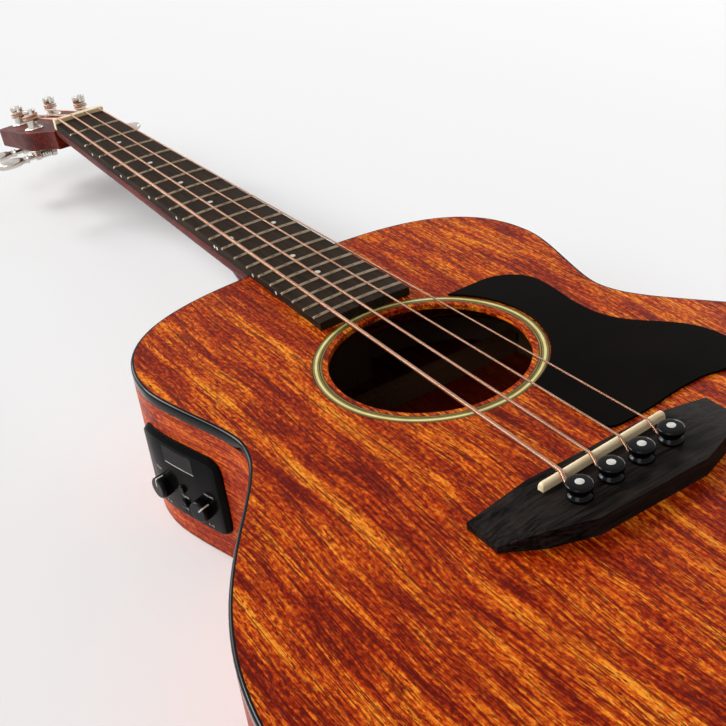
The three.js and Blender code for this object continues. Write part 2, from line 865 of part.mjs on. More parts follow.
// Bridge: flat in the middle, with wings that slope down to thin tips
function bridgeBlank() {
  const half = bridge_length / 2;
  const rear_x = bridge_front_x + bridge_belly_width;
  const thin_z = bridge_under_z + bridge_tip_thickness;
  const treble = [
    [bridge_front_x, bridge_front_crease_y, bridge_top_z],
    [bridge_front_x, half, thin_z],
    [bridge_front_x + bridge_tip_width, half, thin_z],
    [bridge_front_x + bridge_rear_crease_width, bridge_rear_crease_y, bridge_top_z],
    [rear_x, bridge_belly_y, bridge_top_z],
  ];
  const bass = treble.map(([x, y, z]) => [x, -y, z]).reverse();
  const loop = [...treble, ...bass];
  const count = loop.length;
  const positions = loop.flatMap(([x, y, z]) => [x, y, z, x, y, bridge_under_z]);
  const index = [];
  for (let i = 0; i < count; i++) {
    const j = (i + 1) % count;
    index.push(2 * i, 2 * j, 2 * i + 1, 2 * j, 2 * j + 1, 2 * i + 1);
  }
  for (const polygon of [[0, 3, 4, 5, 6, 9], [0, 1, 2, 3], [6, 7, 8, 9]]) {
    for (let k = 1; k < polygon.length - 1; k++) {
      index.push(2 * polygon[k + 1], 2 * polygon[k], 2 * polygon[0]);
    }
  }
  for (let k = 1; k < count - 1; k++) index.push(1, 2 * k + 1, 2 * k + 3);
  const geometry = new THREE.BufferGeometry();
  geometry.setAttribute("position", new THREE.Float32BufferAttribute(positions, 3));
  geometry.setIndex(index);
  return closed(geometry);
}

function slanted(geometry) {
  return geometry.rotateZ(Math.atan(saddle_slant)).translate(saddle_x, 0, 0);
}

const slot_bottom_z = bridge_top_z - saddle_slot_depth;
const pickup_under_z = slot_bottom_z + fit_gap;
const saddle_under_z = pickup_under_z + pickup_thickness + fit_gap;

function saddleSlot() {
  const half = saddle_thickness / 2 + fit_gap;
  const reach = saddle_length / 2 + fit_gap;
  return slanted(block(-half, half, -reach, reach, slot_bottom_z, saddle_top_z));
}

function saddle() {
  const half = saddle_thickness / 2;
  const shape = new THREE.Shape();
  shape.moveTo(-half, saddle_under_z);
  shape.lineTo(half, saddle_under_z);
  shape.lineTo(half, saddle_top_z - half);
  shape.absarc(0, saddle_top_z - half, half, 0, Math.PI, false);
  const options = { depth: saddle_length, bevelEnabled: false, curveSegments: saddle_steps };
  const bar = new THREE.ExtrudeGeometry(shape, options);
  bar.rotateX(Math.PI / 2).translate(0, saddle_length / 2, 0);
  return slanted(bar);
}

function pickup() {
  const half = saddle_thickness / 2 - fit_gap;
  const reach = saddle_length / 2 - fit_gap;
  return slanted(block(-half, half, -reach, reach, pickup_under_z, pickup_under_z + pickup_thickness));
}

add("bridge", cut(bridgeBlank(), saddleSlot(), ...bridge_bores), ebony);
add("saddle", saddle(), bone);
add("saddle_pickup", pickup(), steel);

function pinProfile() {
  const seat = bridge_top_z + fit_gap;
  return [
    [0, bridge_plate_under_z],
    [pin_shank_radius, bridge_plate_under_z],
    [pin_shank_radius, seat],
    [pin_collar_radius, seat],
    [pin_collar_radius, seat + pin_height * pin_collar_share],
    [pin_waist_radius, seat + pin_height * pin_waist_share],
    [pin_head_radius, seat + pin_height * pin_widest_share],
    [pin_shoulder_radius, seat + pin_height * pin_shoulder_share],
    [pin_dot_radius, seat + pin_height],
    [0, seat + pin_height],
  ];
}

function string(run) {
  const wire = tubeAlong(run.points, run.diameter / 2);
  const ball = rod(ball_radius, 0, ball_height, curve_steps);
  const start = run.points[0];
  return join(wire, ball.translate(start.x, start.y, start.z - ball_height / 2));
}

for (const run of string_runs) {
  const pin = pinPlace(run.step);
  const peg = add("bridge_pin_" + run.name, turned(pinProfile(), small_round_steps), black_plastic);
  peg.position.set(pin.x, pin.y, 0);
  add("string_" + run.name, string(run), bronze);
}

// Neck: shaft, heel and headstock are one piece of wood
function shaftSection(x) {
  const half = boardHalfWidth(x);
  const along = (x - nut_rear_x) / (joint_x - nut_rear_x);
  const depth = neck_depth_at_nut + (neck_depth_at_heel - neck_depth_at_nut) * along;
  const section = [new THREE.Vector3(x, half, top_z)];
  for (let i = 0; i <= curve_steps; i++) {
    const angle = (i / curve_steps) * Math.PI;
    const fall = neck_lip + (depth - neck_lip) * Math.sin(angle) ** neck_fullness;
    section.push(new THREE.Vector3(x, half * Math.cos(angle), top_z - fall));
  }
  section.push(new THREE.Vector3(x, -half, top_z));
  return section;
}

function neckShaft() {
  const steps = 6;
  const span = neck_end_x - nut_rear_x;
  const stations = Array.from({ length: steps + 1 }, (_, i) => nut_rear_x + (span * i) / steps);
  return loft(stations.map(shaftSection));
}

// The heel's half width and length at a height, both growing towards the fingerboard
function heelReach(z) {
  const rise = (z - heel_bottom_z) / (heel_top_z - heel_bottom_z);
  const width_growth = (heel_half_width_top - heel_half_width_bottom) * rise ** heel_width_power;
  const length_growth = (heel_length_top - heel_length_bottom) * rise ** heel_length_power;
  return { half: heel_half_width_bottom + width_growth, length: heel_length_bottom + length_growth };
}

function heel() {
  const levels = 7;
  const sections = [];
  for (let i = 0; i <= levels; i++) {
    const z = heel_bottom_z + ((heel_top_z - heel_bottom_z) * i) / levels;
    const { half, length } = heelReach(z);
    sections.push(Array.from({ length: curve_steps + 1 }, (_, k) => {
      const angle = (k / curve_steps) * Math.PI;
      return new THREE.Vector3(neck_end_x - length * Math.sin(angle), half * Math.cos(angle), z);
    }));
  }
  return loft(sections);
}

function headShape() {
  const shape = new THREE.Shape();
  const shoulder_x = -head_ear_station * head_shoulder_share;
  const corner_x = head_crown - head_length;
  const [nut_half, ear_half, end_half] = [head_half_width_nut, head_half_width_ears, head_half_width_end];
  shape.moveTo(0, nut_half);
  shape.bezierCurveTo(shoulder_x, nut_half, shoulder_x, ear_half, -head_ear_station, ear_half);
  shape.lineTo(corner_x, end_half);
  shape.quadraticCurveTo(-head_length, end_half / 2, -head_length, 0);
  shape.quadraticCurveTo(-head_length, -end_half / 2, corner_x, -end_half);
  shape.lineTo(-head_ear_station, -ear_half);
  shape.bezierCurveTo(shoulder_x, -ear_half, shoulder_x, -nut_half, 0, -nut_half);
  return shape;
}

function tunerBores() {
  return string_runs.flatMap((run) => {
    const place = postPlace(run);
    const wide = rod(bushing_radius + fit_gap, -bushing_depth - fit_gap, overrun, bore_steps);
    const narrow = rod(post_radius + fit_gap, -head_thickness - overrun, 0, bore_steps);
    return [wide, narrow].map((tool) => tool.translate(place.x, place.y, 0));
  });
}

function headstock() {
  const blank = slab(headShape(), -head_thickness, 0);
  return cut(blank, ...tunerBores()).applyMatrix4(head_frame);
}

const rod_front_x = -scale_length + rod_head_margin;

function rodChannel() {
  const half = rod_width / 2 + fit_gap;
  const floor = rod_top_z - rod_height - fit_gap;
  return block(rod_front_x - fit_gap, joint_x, -half, half, floor, top_z + overrun);
}

function strapScrewBore() {
  const radius = strap_screw_radius + fit_gap;
  const bore = rod(radius, -strap_screw_length - overrun, strap_button_height, bore_steps);
  return bore.rotateX(-Math.PI / 2).translate(strap_button_x, strap_seat_y, strap_button_z);
}

// The heel's half width at the strap button, where the button seats
function heelHalfWidth(x, z) {
  const { half, length } = heelReach(z);
  return half * Math.sqrt(Math.max(0, 1 - ((joint_x - x) / length) ** 2));
}

const strap_seat_y = heelHalfWidth(strap_button_x + strap_button_radius, strap_button_z) + fit_gap;

function neck() {
  const wood = join(neckShaft(), heel(), headstock());
  return cut(wood, rodChannel(), strapScrewBore());
}

function trussRod() {
  const half = rod_width / 2;
  const bar = block(rod_front_x, neck_end_x, -half, half, rod_top_z - rod_height, rod_top_z);
  const nut_length = side_thickness + block_length / 2;
  const nut = rod(rod_nut_radius, -overrun, nut_length, rod_nut_sides);
  return join(bar, nut.rotateY(Math.PI / 2).translate(neck_end_x, 0, rod_nut_z));
}

add("neck", neck(), dark_mahogany);
add("truss_rod", trussRod(), steel);

// Fingerboard, with the frets standing on its curved top
function crownDrop(y) {
  return (y * y) / (2 * board_radius);
}

function boardSection(x) {
  const half = boardHalfWidth(x);
  const section = [new THREE.Vector3(x, half, board_under_z), new THREE.Vector3(x, -half, board_under_z)];
  for (let i = 0; i <= board_facets; i++) {
    const y = -half + (2 * half * i) / board_facets;
    section.push(new THREE.Vector3(x, y, board_top_z - crownDrop(y)));
  }
  return section;
}

function fret(n) {
  const x = fretX(n);
  const half = boardHalfWidth(x);
  const sections = [];
  for (let i = 0; i <= board_facets; i++) {
    const y = -half + (2 * half * i) / board_facets;
    const z = board_top_z - crownDrop(y);
    sections.push([
      new THREE.Vector3(x - fret_width / 2, y, z - fret_root),
      new THREE.Vector3(x - fret_width / 4, y, z + fret_height),
      new THREE.Vector3(x + fret_width / 4, y, z + fret_height),
      new THREE.Vector3(x + fret_width / 2, y, z - fret_root),
    ]);
  }
  return loft(sections);
}

function fingerboard() {
  const end_x = fretX(fret_count) + board_past_last_fret;
  const board = loft([boardSection(-scale_length + fit_gap), boardSection(end_x)]);
  return join(board, ...Array.from({ length: fret_count }, (_, i) => fret(i + 1)));
}

function nut() {
  const half = nut_width / 2;
  const blank = block(nut_rear_x, -scale_length, -half, half, board_under_z, fret_plane_z + nut_over_frets);
  return cut(blank, ...string_runs.map(stringClearance));
}

add("fingerboard", fingerboard(), ebony);
add("nut", nut(), bone);

// Tuners, built in the headstock's own frame: its face is at height 0
const headstock_group = new THREE.Group();
head_frame.decompose(headstock_group.position, headstock_group.quaternion, headstock_group.scale);
part.add(headstock_group);

const plate_top = -head_thickness - fit_gap;
const plate_bottom = plate_top - tuner_plate_thickness;
const worm_height = plate_bottom - worm_radius - fit_gap;
const gear_top = worm_height + gear_thickness / 2;
const gear_bottom = worm_height - gear_thickness / 2;
const worm_offset = gear_radius + worm_radius + fit_gap;

function gearShape() {
  const points = [];
  for (let i = 0; i < gear_teeth * 2; i++) {
    const angle = (i / (gear_teeth * 2)) * 2 * Math.PI;
    const radius = i % 2 ? gear_radius - tooth_depth : gear_radius;
    points.push(new THREE.Vector2(radius * Math.cos(angle), radius * Math.sin(angle)));
  }
  return new THREE.Shape(points);
}

function tunerPost(winding_top) {
  const neck_top = winding_top + fit_gap;
  const shaft = turned([
    [0, gear_bottom],
    [post_radius, gear_bottom],
    [post_radius, neck_top],
    [post_head_radius, neck_top + post_rim],
    [post_head_radius, post_height - post_rim],
    [post_head_radius - post_rim, post_height],
    [0, post_height],
  ], small_round_steps);
  const half = post_fork_width / 2;
  const reach = post_head_radius + overrun;
  const fork = block(-reach, reach, -half, half, post_height - post_fork_depth, post_height + overrun);
  return join(cut(shaft, fork), slab(gearShape(), gear_bottom, gear_top));
}

function bushing() {
  const inner = post_radius + fit_gap;
  return turned([
    [inner, -bushing_depth],
    [bushing_radius, -bushing_depth],
    [bushing_radius, fit_gap],
    [flange_radius, fit_gap],
    [flange_radius - flange_height / 2, flange_height],
    [inner, flange_height],
    [inner, -bushing_depth],
  ], small_round_steps);
}

// The two ears hold the worm's shaft on either side of the worm
function tunerPlate() {
  const near_x = -gear_radius - tuner_plate_margin;
  const far_x = worm_offset + ear_half_width;
  const reach = worm_length / 2 + fit_gap + ear_thickness;
  const plate_reach = gear_radius + tuner_plate_margin / 2;
  const plate = block(near_x, far_x, -plate_reach, plate_reach, plate_bottom, plate_top);
  const ears = [1, -1].map((side) => {
    const [y0, y1] = [reach - ear_thickness, reach].map((y) => y * side).sort((a, b) => a - b);
    const x0 = worm_offset - ear_half_width;
    return block(x0, far_x, y0, y1, worm_height - ear_half_width, plate_top);
  });
  const hole = rod(post_radius + fit_gap, plate_bottom - overrun, plate_top + overrun, bore_steps);
  const bore = rod(tuner_shaft_radius + fit_gap, -reach - overrun, reach + overrun, bore_steps);
  bore.rotateX(-Math.PI / 2).translate(worm_offset, 0, worm_height);
  return cut(join(plate, ...ears), hole, bore);
}

// Turned about its own Z axis, from the worm's middle out to the button
function tunerButton() {
  const half = worm_length / 2;
  const ear_end = half + fit_gap * 2 + ear_thickness;
  const collar_end = head_half_width_ears - far_post_offset + button_edge_gap;
  const collar_start = collar_end - button_collar_length;
  const shaft = turned([
    [0, -ear_end - fit_gap],
    [tuner_shaft_radius, -ear_end - fit_gap],
    [tuner_shaft_radius, -half],
    [worm_radius, -half],
    [worm_radius, half],
    [tuner_shaft_radius, half],
    [tuner_shaft_radius, collar_start],
    [button_collar_radius, collar_start],
    [button_collar_tip_radius, collar_end + overrun],
    [0, collar_end + overrun],
  ], bore_steps);
  const knob = new THREE.SphereGeometry(1, bore_steps, curve_steps - 2);
  knob.scale(button_radius, button_radius * button_flat_share, button_length / 2);
  return join(shaft, knob.translate(0, 0, collar_end + button_length / 2));
}

for (const run of string_runs) {
  const place = postPlace(run);
  const side = Math.sign(run.step);
  const pitch = run.diameter + winding_gap;
  const winding_top = winding_height + run.diameter + winding_loops * pitch;
  const tuner = new THREE.Group();
  tuner.position.set(place.x, place.y, 0);
  headstock_group.add(tuner);
  add("tuner_post_" + run.name, tunerPost(winding_top), nickel, tuner);
  add("tuner_bushing_" + run.name, bushing(), nickel, tuner);
  add("tuner_plate_" + run.name, tunerPlate(), nickel, tuner);
  const button = add("tuner_button_" + run.name, tunerButton(), nickel, tuner);
  button.position.set(worm_offset, 0, worm_height);
  button.rotation.x = (-side * Math.PI) / 2;
}

// Preamp: a curved panel on the bass side, with a box behind it inside the body
function panelEdge(x) {
  const from_end = Math.min(x - preamp_front_x, preamp_rear_x - x);
  const inside = Math.max(0, panel_corner - from_end);
  return panel_corner - Math.sqrt(Math.max(0, panel_corner ** 2 - inside ** 2));
}

function panelStations() {
  const corner_steps = 3;
  const middle_steps = 8;
  const corner = Array.from({ length: corner_steps }, (_, i) => {
    return panel_corner * (1 - Math.cos((i / corner_steps) * (Math.PI / 2)));
  });
  const span = preamp_rear_x - preamp_front_x;
  const middle = Array.from({ length: middle_steps + 1 }, (_, i) => {
    return panel_corner + ((span - panel_corner * 2) * i) / middle_steps;
  });
  return [...corner, ...middle, ...corner.map((s) => span - s).reverse()].map((s) => preamp_front_x + s);
}

function panel() {
  const sections = panelStations().map((x) => {
    const shrink = panelEdge(x);
    const bottom = preamp_bottom_z + shrink;
    const top = preamp_top_z - shrink;
    const place = outlineAt(x);
    const section = [
      [fit_gap, bottom],
      [panel_edge_rise, bottom],
      [panel_thickness, bottom + panel_edge_rise],
      [panel_thickness, top - panel_bevel],
      [panel_edge_rise, top],
      [fit_gap, top],
    ];
    return section.map(([rise, z]) => {
      const point = outlinePoint(place, -rise, -1);
      return new THREE.Vector3(point.x, point.y, z);
    });
  });
  return loft(sections);
}

// A frame on the bass side: local X runs along the side to the tail, local Y up, local Z outward
function sideFrame(x, z, rise) {
  const place = outlineAt(x);
  const point = outlinePoint(place, -rise, -1);
  const outward = new THREE.Vector3(-place.nx, place.ny, 0);
  const up = new THREE.Vector3(0, 0, 1);
  const along = up.clone().cross(outward);
  const frame = new THREE.Matrix4().makeBasis(along, up, outward);
  return frame.setPosition(point.x, point.y, z);
}

// The box and its opening lie square to the chord of the side behind the panel
function boxFrame() {
  const [front, rear] = [preamp_front_x + box_margin, preamp_rear_x - box_margin].map(outlineAt);
  const along = new THREE.Vector3(rear.x - front.x, -(rear.y - front.y), 0).normalize();
  const up = new THREE.Vector3(0, 0, 1);
  const outward = along.clone().cross(up);
  const frame = new THREE.Matrix4().makeBasis(along, up, outward);
  const middle_z = (preamp_bottom_z + preamp_top_z) / 2;
  return frame.setPosition((front.x + rear.x) / 2, -(front.y + rear.y) / 2, middle_z);
}

const box_frame = boxFrame();
const box_half_length = (preamp_rear_x - preamp_front_x) / 2 - box_margin - fit_gap;
const box_half_height = (preamp_top_z - preamp_bottom_z) / 2 - box_margin - fit_gap;

function boxSpace(extra, front) {
  const length = box_half_length + extra;
  const height = box_half_height + extra;
  return block(-length, length, -height, height, -box_depth - extra, front).applyMatrix4(box_frame);
}

function controlBores() {
  const reach = panel_thickness + box_depth;
  const bores = [volume_knob_x, tone_knob_x].map((x) => {
    const bore = rod(knob_shaft_radius + fit_gap, -reach, reach, bore_steps);
    return bore.applyMatrix4(sideFrame(x, knob_z, 0));
  });
  for (const z of [knob_z + switch_pitch / 2, knob_z - switch_pitch / 2]) {
    const bore = rod(switch_radius + fit_gap, -reach, reach, bore_steps);
    bores.push(bore.applyMatrix4(sideFrame(switch_x, z, 0)));
  }
  return bores;
}

function windowPocket() {
  const half_width = window_width / 2 + fit_gap;
  const half_height = window_height / 2 + fit_gap;
  const floor = panel_thickness - window_thickness - fit_gap;
  const roof = panel_thickness + overrun;
  const pocket = block(-half_width, half_width, -half_height, half_height, floor, roof);
  return pocket.applyMatrix4(sideFrame(window_x, window_z, 0));
}

const panel_solid = cut(panel(), windowPocket(), ...controlBores());
add("preamp_panel", panel_solid, black_plastic);
const bass_openings = [rodAccess(), jackBore(), boxSpace(fit_gap, box_depth)];
add("side_bass", cut(rail(sideSection(), -1), ...bass_openings), mahogany);

const window_half_width = window_width / 2;
const window_half_height = window_height / 2;
const window_box = block(
  -window_half_width,
  window_half_width,
  -window_half_height,
  window_half_height,
  panel_thickness - window_thickness,
  panel_thickness,
);
const display = add("display_window", window_box, smoked_glass);
sideFrame(window_x, window_z, 0).decompose(display.position, display.quaternion, display.scale);

function preampBox() {
  const outer = block(-box_half_length, box_half_length, -box_half_height, box_half_height, -box_depth, 0);
  const length = box_half_length - box_wall;
  const height = box_half_height - box_wall;
  const inner = block(-length, length, -height, height, -box_depth + box_wall, overrun);
  return cut(outer, inner);
}

function battery() {
  const bottom = -box_depth + box_wall + fit_gap;
  const length = battery_length / 2;
  const foot = -box_half_height + box_wall + fit_gap;
  return block(-length, length, foot, foot + battery_width, bottom, bottom + battery_depth);
}

for (const [name, geometry, material] of [
  ["preamp_box", preampBox(), black_plastic],
  ["battery", battery(), steel],
]) {
  const piece = add(name, geometry, material);
  box_frame.decompose(piece.position, piece.quaternion, piece.scale);
}

function knobProfile() {
  const seat = panel_thickness + fit_gap;
  return [
    [0, seat - knob_shaft_length],
    [knob_shaft_radius, seat - knob_shaft_length],
    [knob_shaft_radius, seat],
    [knob_radius, seat],
    [knob_radius, seat + knob_height - knob_edge],
    [knob_radius - knob_edge, seat + knob_height],
    [0, seat + knob_height],
  ];
}

for (const [name, x] of [["volume_knob", volume_knob_x], ["tone_knob", tone_knob_x]]) {
  const knob = add(name, turned(knobProfile(), small_round_steps), black_plastic);
  sideFrame(x, knob_z, 0).decompose(knob.position, knob.quaternion, knob.scale);
}

const switch_rod = rod(switch_radius, -panel_thickness, panel_thickness + switch_rise, bore_steps);
for (const [name, rise] of [["tuner_switch", 1], ["phase_switch", -1]]) {
  const button = add(name, switch_rod, black_plastic);
  const frame = sideFrame(switch_x, knob_z + (rise * switch_pitch) / 2, 0);
  frame.decompose(button.position, button.quaternion, button.scale);
}

// End-pin jack through the tail block, and the strap button on the heel
function jackProfile() {
  const seat = fit_gap;
  const inner_end = -side_thickness - block_length - jack_wall - overrun;
  const rim = (jack_flange_radius - jack_neck_radius) / 2;
  return [
    [0, inner_end],
    [jack_barrel_radius, inner_end],
    [jack_barrel_radius, seat],
    [jack_flange_radius, seat],
    [jack_flange_radius, seat + rim],
    [jack_neck_radius, seat + rim * 2],
    [jack_neck_radius, jack_length_outside - rim * 2],
    [jack_flange_radius, jack_length_outside - rim],
    [jack_flange_radius, jack_length_outside],
    [jack_bore_radius, jack_length_outside],
    [jack_bore_radius, inner_end + jack_wall],
    [0, inner_end + jack_wall],
  ];
}

const jack = add("end_pin_jack", turned(jackProfile(), small_round_steps), nickel);
jack.position.set(tail_x, 0, jack_z);
jack.rotation.y = Math.PI / 2;

function strapButtonProfile() {
  const rim = strap_button_height / 5;
  return [
    [0, -strap_screw_length],
    [strap_screw_radius, -strap_screw_length],
    [strap_screw_radius, 0],
    [strap_foot_radius, 0],
    [strap_waist_radius, rim],
    [strap_waist_radius, strap_button_height - rim * 2],
    [strap_button_radius, strap_button_height - rim],
    [strap_button_radius, strap_button_height],
    [0, strap_button_height],
  ];
}

const strap = add("strap_button", turned(strapButtonProfile(), small_round_steps), nickel);
strap.position.set(strap_button_x, strap_seat_y, strap_button_z);
strap.rotation.x = -Math.PI / 2;

export default part;
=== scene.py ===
"""Looks of a short-scale acoustic bass guitar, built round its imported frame. Lengths are in millimetres."""

import json
from math import acos, atan, atan2, copysign, cos, pi, radians, sin, sqrt, tanh

import bmesh
import bpy
from mathutils import Matrix, Vector


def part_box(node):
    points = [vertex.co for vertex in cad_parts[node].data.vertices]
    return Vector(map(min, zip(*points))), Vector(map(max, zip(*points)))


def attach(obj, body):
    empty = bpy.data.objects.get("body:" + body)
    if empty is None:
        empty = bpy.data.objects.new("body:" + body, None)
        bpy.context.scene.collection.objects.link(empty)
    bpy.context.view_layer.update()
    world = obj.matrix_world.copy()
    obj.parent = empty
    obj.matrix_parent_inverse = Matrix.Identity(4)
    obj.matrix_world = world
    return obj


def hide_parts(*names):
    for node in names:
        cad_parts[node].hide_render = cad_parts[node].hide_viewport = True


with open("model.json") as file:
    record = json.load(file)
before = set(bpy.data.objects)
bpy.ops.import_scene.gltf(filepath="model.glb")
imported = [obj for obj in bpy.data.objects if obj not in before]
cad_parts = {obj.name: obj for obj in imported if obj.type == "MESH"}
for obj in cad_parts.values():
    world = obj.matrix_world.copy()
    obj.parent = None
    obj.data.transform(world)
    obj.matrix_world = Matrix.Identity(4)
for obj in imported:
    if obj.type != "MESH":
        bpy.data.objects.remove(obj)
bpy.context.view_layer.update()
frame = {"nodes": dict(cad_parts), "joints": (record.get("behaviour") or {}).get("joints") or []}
mm = 0.001


def lowest(node):
    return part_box(node)[0] / mm


def highest(node):
    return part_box(node)[1] / mm


def middle(node):
    return (lowest(node) + highest(node)) / 2


# Levels and places that the frame gives
top_z = highest("top_plate").z
top_under_z = lowest("top_plate").z
back_top_z = highest("back_plate").z
joint_x = lowest("back_plate").x
tail_x = highest("back_plate").x
nut_rear_x = lowest("nut").x
scale_length = -highest("nut").x
fret_top_z = highest("fingerboard").z
board_end_x = highest("fingerboard").x
hole_x = middle("rosette").x
bridge_top_z = highest("bridge").z
bridge_plate_under_z = lowest("bridge_plate").z
guard_top_z = highest("pickguard").z
saddle_top_z = highest("saddle").z
saddle_foot_z = lowest("saddle").z
panel_bottom_z = lowest("preamp_panel").z
panel_top_z = highest("preamp_panel").z

# How far apart pieces that touch are kept
seat = 0.04

# Body
outline_refinement = 4
side_thickness = 2.5
opening_gap = 0.3
binding_width = 2.0
binding_height = 5.8
binding_round = 1.85
binding_foot_round = 0.3
back_edge_round = 1.3
corner_steps = 5

# Soundhole, rosette and pickguard
hole_radius = 50.8
hole_edge_round = 0.5
rosette_inner_radius = 53.7
rosette_outer_radius = 59
rosette_depth = 1.4
rosette_rings = [
    ("dark_outer", 0.5, "dark"),
    ("olive_outer", 1.0, "olive"),
    ("cream", 1.25, "cream"),
    ("olive_inner", 1.0, "olive"),
    ("dark_inner", 0.5, "dark"),
    ("gold_inner", 0.65, "olive"),
    ("dark_edge", 0.35, "dark"),
]
ring_steps = 144
guard_gap = 0.4
guard_start_angle = pi * 0.75
guard_end_angle = pi * 0.11
guard_horn_y = 64
guard_horn_share = 0.6
guard_shoulder_before_hole = 19.2
guard_shoulder_y = 87.5
guard_dip_past_hole = 17.8
guard_dip_y = 85
guard_crest_before_bridge = 31.5
guard_crest_y = 114.5
guard_tail_before_bridge = 12.5
guard_tail_y = 106
guard_hollow = 2.6
guard_hollow_start_y = 95
guard_hollow_y = 77
guard_belly = 0.6
guard_belly_y = 32
guard_foot_y = 20.5
guard_corner = 7
guard_steps = 24
guard_bevel = 0.35

# Bridge, saddle and pins
bridge_front_x = -4.5
bridge_half_length = 66.5
bridge_tip_thickness = 3
bridge_tip_width = 19.5
bridge_belly_width = 37
bridge_belly_y = 29
bridge_front_crease_y = 36
bridge_rear_crease_y = 50
bridge_rear_crease_width = 30
bridge_bevel = 0.5
saddle_x = 2.3
saddle_slant = 0.07
saddle_length = 72
saddle_thickness = 3.2
saddle_spacing = 17
saddle_end_round = 1.4
saddle_slot_depth = 5
saddle_bevel = 0.2
pin_height = 7.6
pin_shank_radius = 2.8
pin_dot_radius = 1.95
pin_dot_rise = 0.12
pin_steps = 48
# Radius, and share of the height
pin_profile = [
    (5.1, 0), (5.35, 0.04), (5.5, 0.105), (5.4, 0.185), (5.0, 0.25), (4.4, 0.3),
    (4.15, 0.355), (4.3, 0.41), (4.8, 0.47), (5.4, 0.58), (5.8, 0.71), (5.9, 0.8),
    (5.88, 0.855), (5.75, 0.9), (5.4, 0.947), (4.8, 0.974), (3.8, 0.988), (2.3, 0.995),
]

# Nut, neck and headstock
nut_spacing = 11
nut_slot_over_frets = 0.5
nut_width = 40.4
twelfth_fret_width = 52
board_radius = 400
board_steps = 16
board_bevel = 0.4
fret_count = 20
fret_height = 1
fret_width = 2.0
fret_end_slope = 1.0
fret_root_share = 0.4
fret_steps = 6
dot_radius = 1.8
dot_rise = 0.03
dot_frets = [3, 5, 7, 9, 15, 17]
octave_fret = 12
octave_dot_y = 14.5
side_dot_radius = 1.1
side_dot_spacing = 3.52
neck_depth_at_nut = 15
neck_depth_at_heel = 18.5
neck_lip = 1
neck_fullness = 0.85
neck_steps = 32
neck_stations = 16
heel_bottom_z = 3
heel_top_z = top_z - neck_depth_at_heel / 2
heel_half_width_top = 25
heel_half_width_bottom = 15
heel_length_top = 78
heel_length_bottom = 22
heel_width_power = 1.5
heel_length_power = 4
heel_levels = 24
heel_cap_round = 1.6
head_drop = 1.3
head_thickness = 15
head_length = 145
head_half_width_nut = 21.5
head_half_width_ears = 33
head_half_width_end = 31
head_ear_station = 60
head_shoulder_share = 0.45
head_crown = 6
head_bevel = 1.2
head_steps = 20

# Strings: name, place across, diameter
string_table = [("E", -1.5, 2.0), ("A", -0.5, 1.5), ("D", 0.5, 1.15), ("G", 1.5, 0.95)]
string_gap = 0.3
string_sides = 14
string_arc_steps = 8
wrap_pitch_share = 0.22
winding_height = 6
winding_loops = 2
winding_gap = 0.5
loop_steps = 48
string_ramp_depth = 3.5
ball_radius = 2.6
ball_height = 4

# Tuners
post_radius = 4.2
post_head_radius = 5.2
post_height = 16.4
post_rim = 0.8
post_bevel = 0.2
fork_width = 2.4
fork_depth = 5
bushing_radius = 6
bushing_depth = 8
bushing_bevel = 0.25
flange_radius = 7.8
flange_height = 2.2
gear_teeth = 18
gear_radius = 8.4
gear_thickness = 4
gear_bevel = 0.15
tooth_depth = 0.9
tooth_steepness = 2.2
tooth_lean = 0.35
tooth_steps = 8
worm_radius = 3
worm_length = 9
worm_turns = 4.5
worm_levels = 96
thread_depth = 0.55
tuner_shaft_radius = 1.9
plate_thickness = 1.5
plate_margin = 4
plate_corner = 2.5
plate_bevel = 0.3
ear_thickness = 4
ear_half_width = 3.4
ear_steps = 12
button_edge_gap = 1
far_post_offset = 14.8
button_length = 22
button_radius = 10
button_flat_share = 0.4
button_waist = 0.25
button_squareness = 0.8
button_levels = 28
button_collar_length = 4
button_collar_radius = 3.4
button_collar_tip_radius = 2.7
metal_steps = 40

# Screws: radius, height of the dome, bevel
plate_screw = (1.7, 0.7, 0.06)
gear_screw = (3.2, 0.9, 0.08)
strap_screw = (3, 0.8, 0.08)

# Preamp
panel_front_x = joint_x + 62.9
panel_rear_x = joint_x + 125.1
panel_thickness = 3
panel_corner = 8
panel_slope = 2.6
panel_edge_rise = 1
panel_end_slope = 2.4
panel_stations = 44
window_x = joint_x + 94.9
window_width = 23
window_height = 9
window_thickness = 1
window_z = top_z - 31
knob_z = top_z - 54
knob_radius = 6
knob_height = 5
knob_ridges = 30
knob_ridge_steps = 6
knob_ridge_depth = 0.22
knob_edge = 0.8
knob_shaft_radius = 2.6
knob_shaft_length = 10
pointer_half_width = 0.4
inlay_rise = 0.04
switch_x = joint_x + 93.9
switch_radius = 2.3
switch_rise = 1.4
switch_depth = 3
switch_edge = 0.5
switch_steps = 32
label_rise = 0.06
label_depth = 0.2
label_size = 1.75
# Knobs and switches: node, body, and a knob's pointer at rest in degrees
knobs = [("volume_knob", "volume", 45), ("tone_knob", "tone", 90)]
switches = [("tuner_switch", "tuner_push"), ("phase_switch", "phase_push")]
# Print on the panel: words with their x and drop below the top; and painted highlights, white lines along the
# display window's edges, from x to x and drop to drop
labels = [
    ("label_volume", "VOLUME", -151.8, 44.7),
    ("label_level", "0 - 10", -154.2, 64.3),
    ("label_tuner", "TUNER", -170.9, 53.9),
    ("label_phase", "PHASE", -172.9, 62),
    ("label_tone", "TONE", -190.2, 44.4),
    ("label_range", "0 - 10", -187, 64.2),
]
# Both lines are painted highlights: white strips along the display window's lower and left edges, where the
# glossy edge catches light.
lines = [
    ("window_edge_painted_highlight", -182, -160.5, 35.75, 36.25),
    ("window_end_painted_highlight", -182.3, -182, 29.8, 33.6),
]
line_steps = 8

# Jack and strap button
jack_z = 42.5
jack_flange_radius = 9
jack_neck_radius = 6.2
jack_barrel_radius = 6
jack_bore_radius = 3.3
jack_length = 11
jack_depth = 31.5
jack_wall = 2
strap_radius = 7
strap_height = 12
strap_waist_radius = 4.2
strap_foot_radius = 6.3
strap_dish_radius = 3.4
strap_screw_drop = 0.9

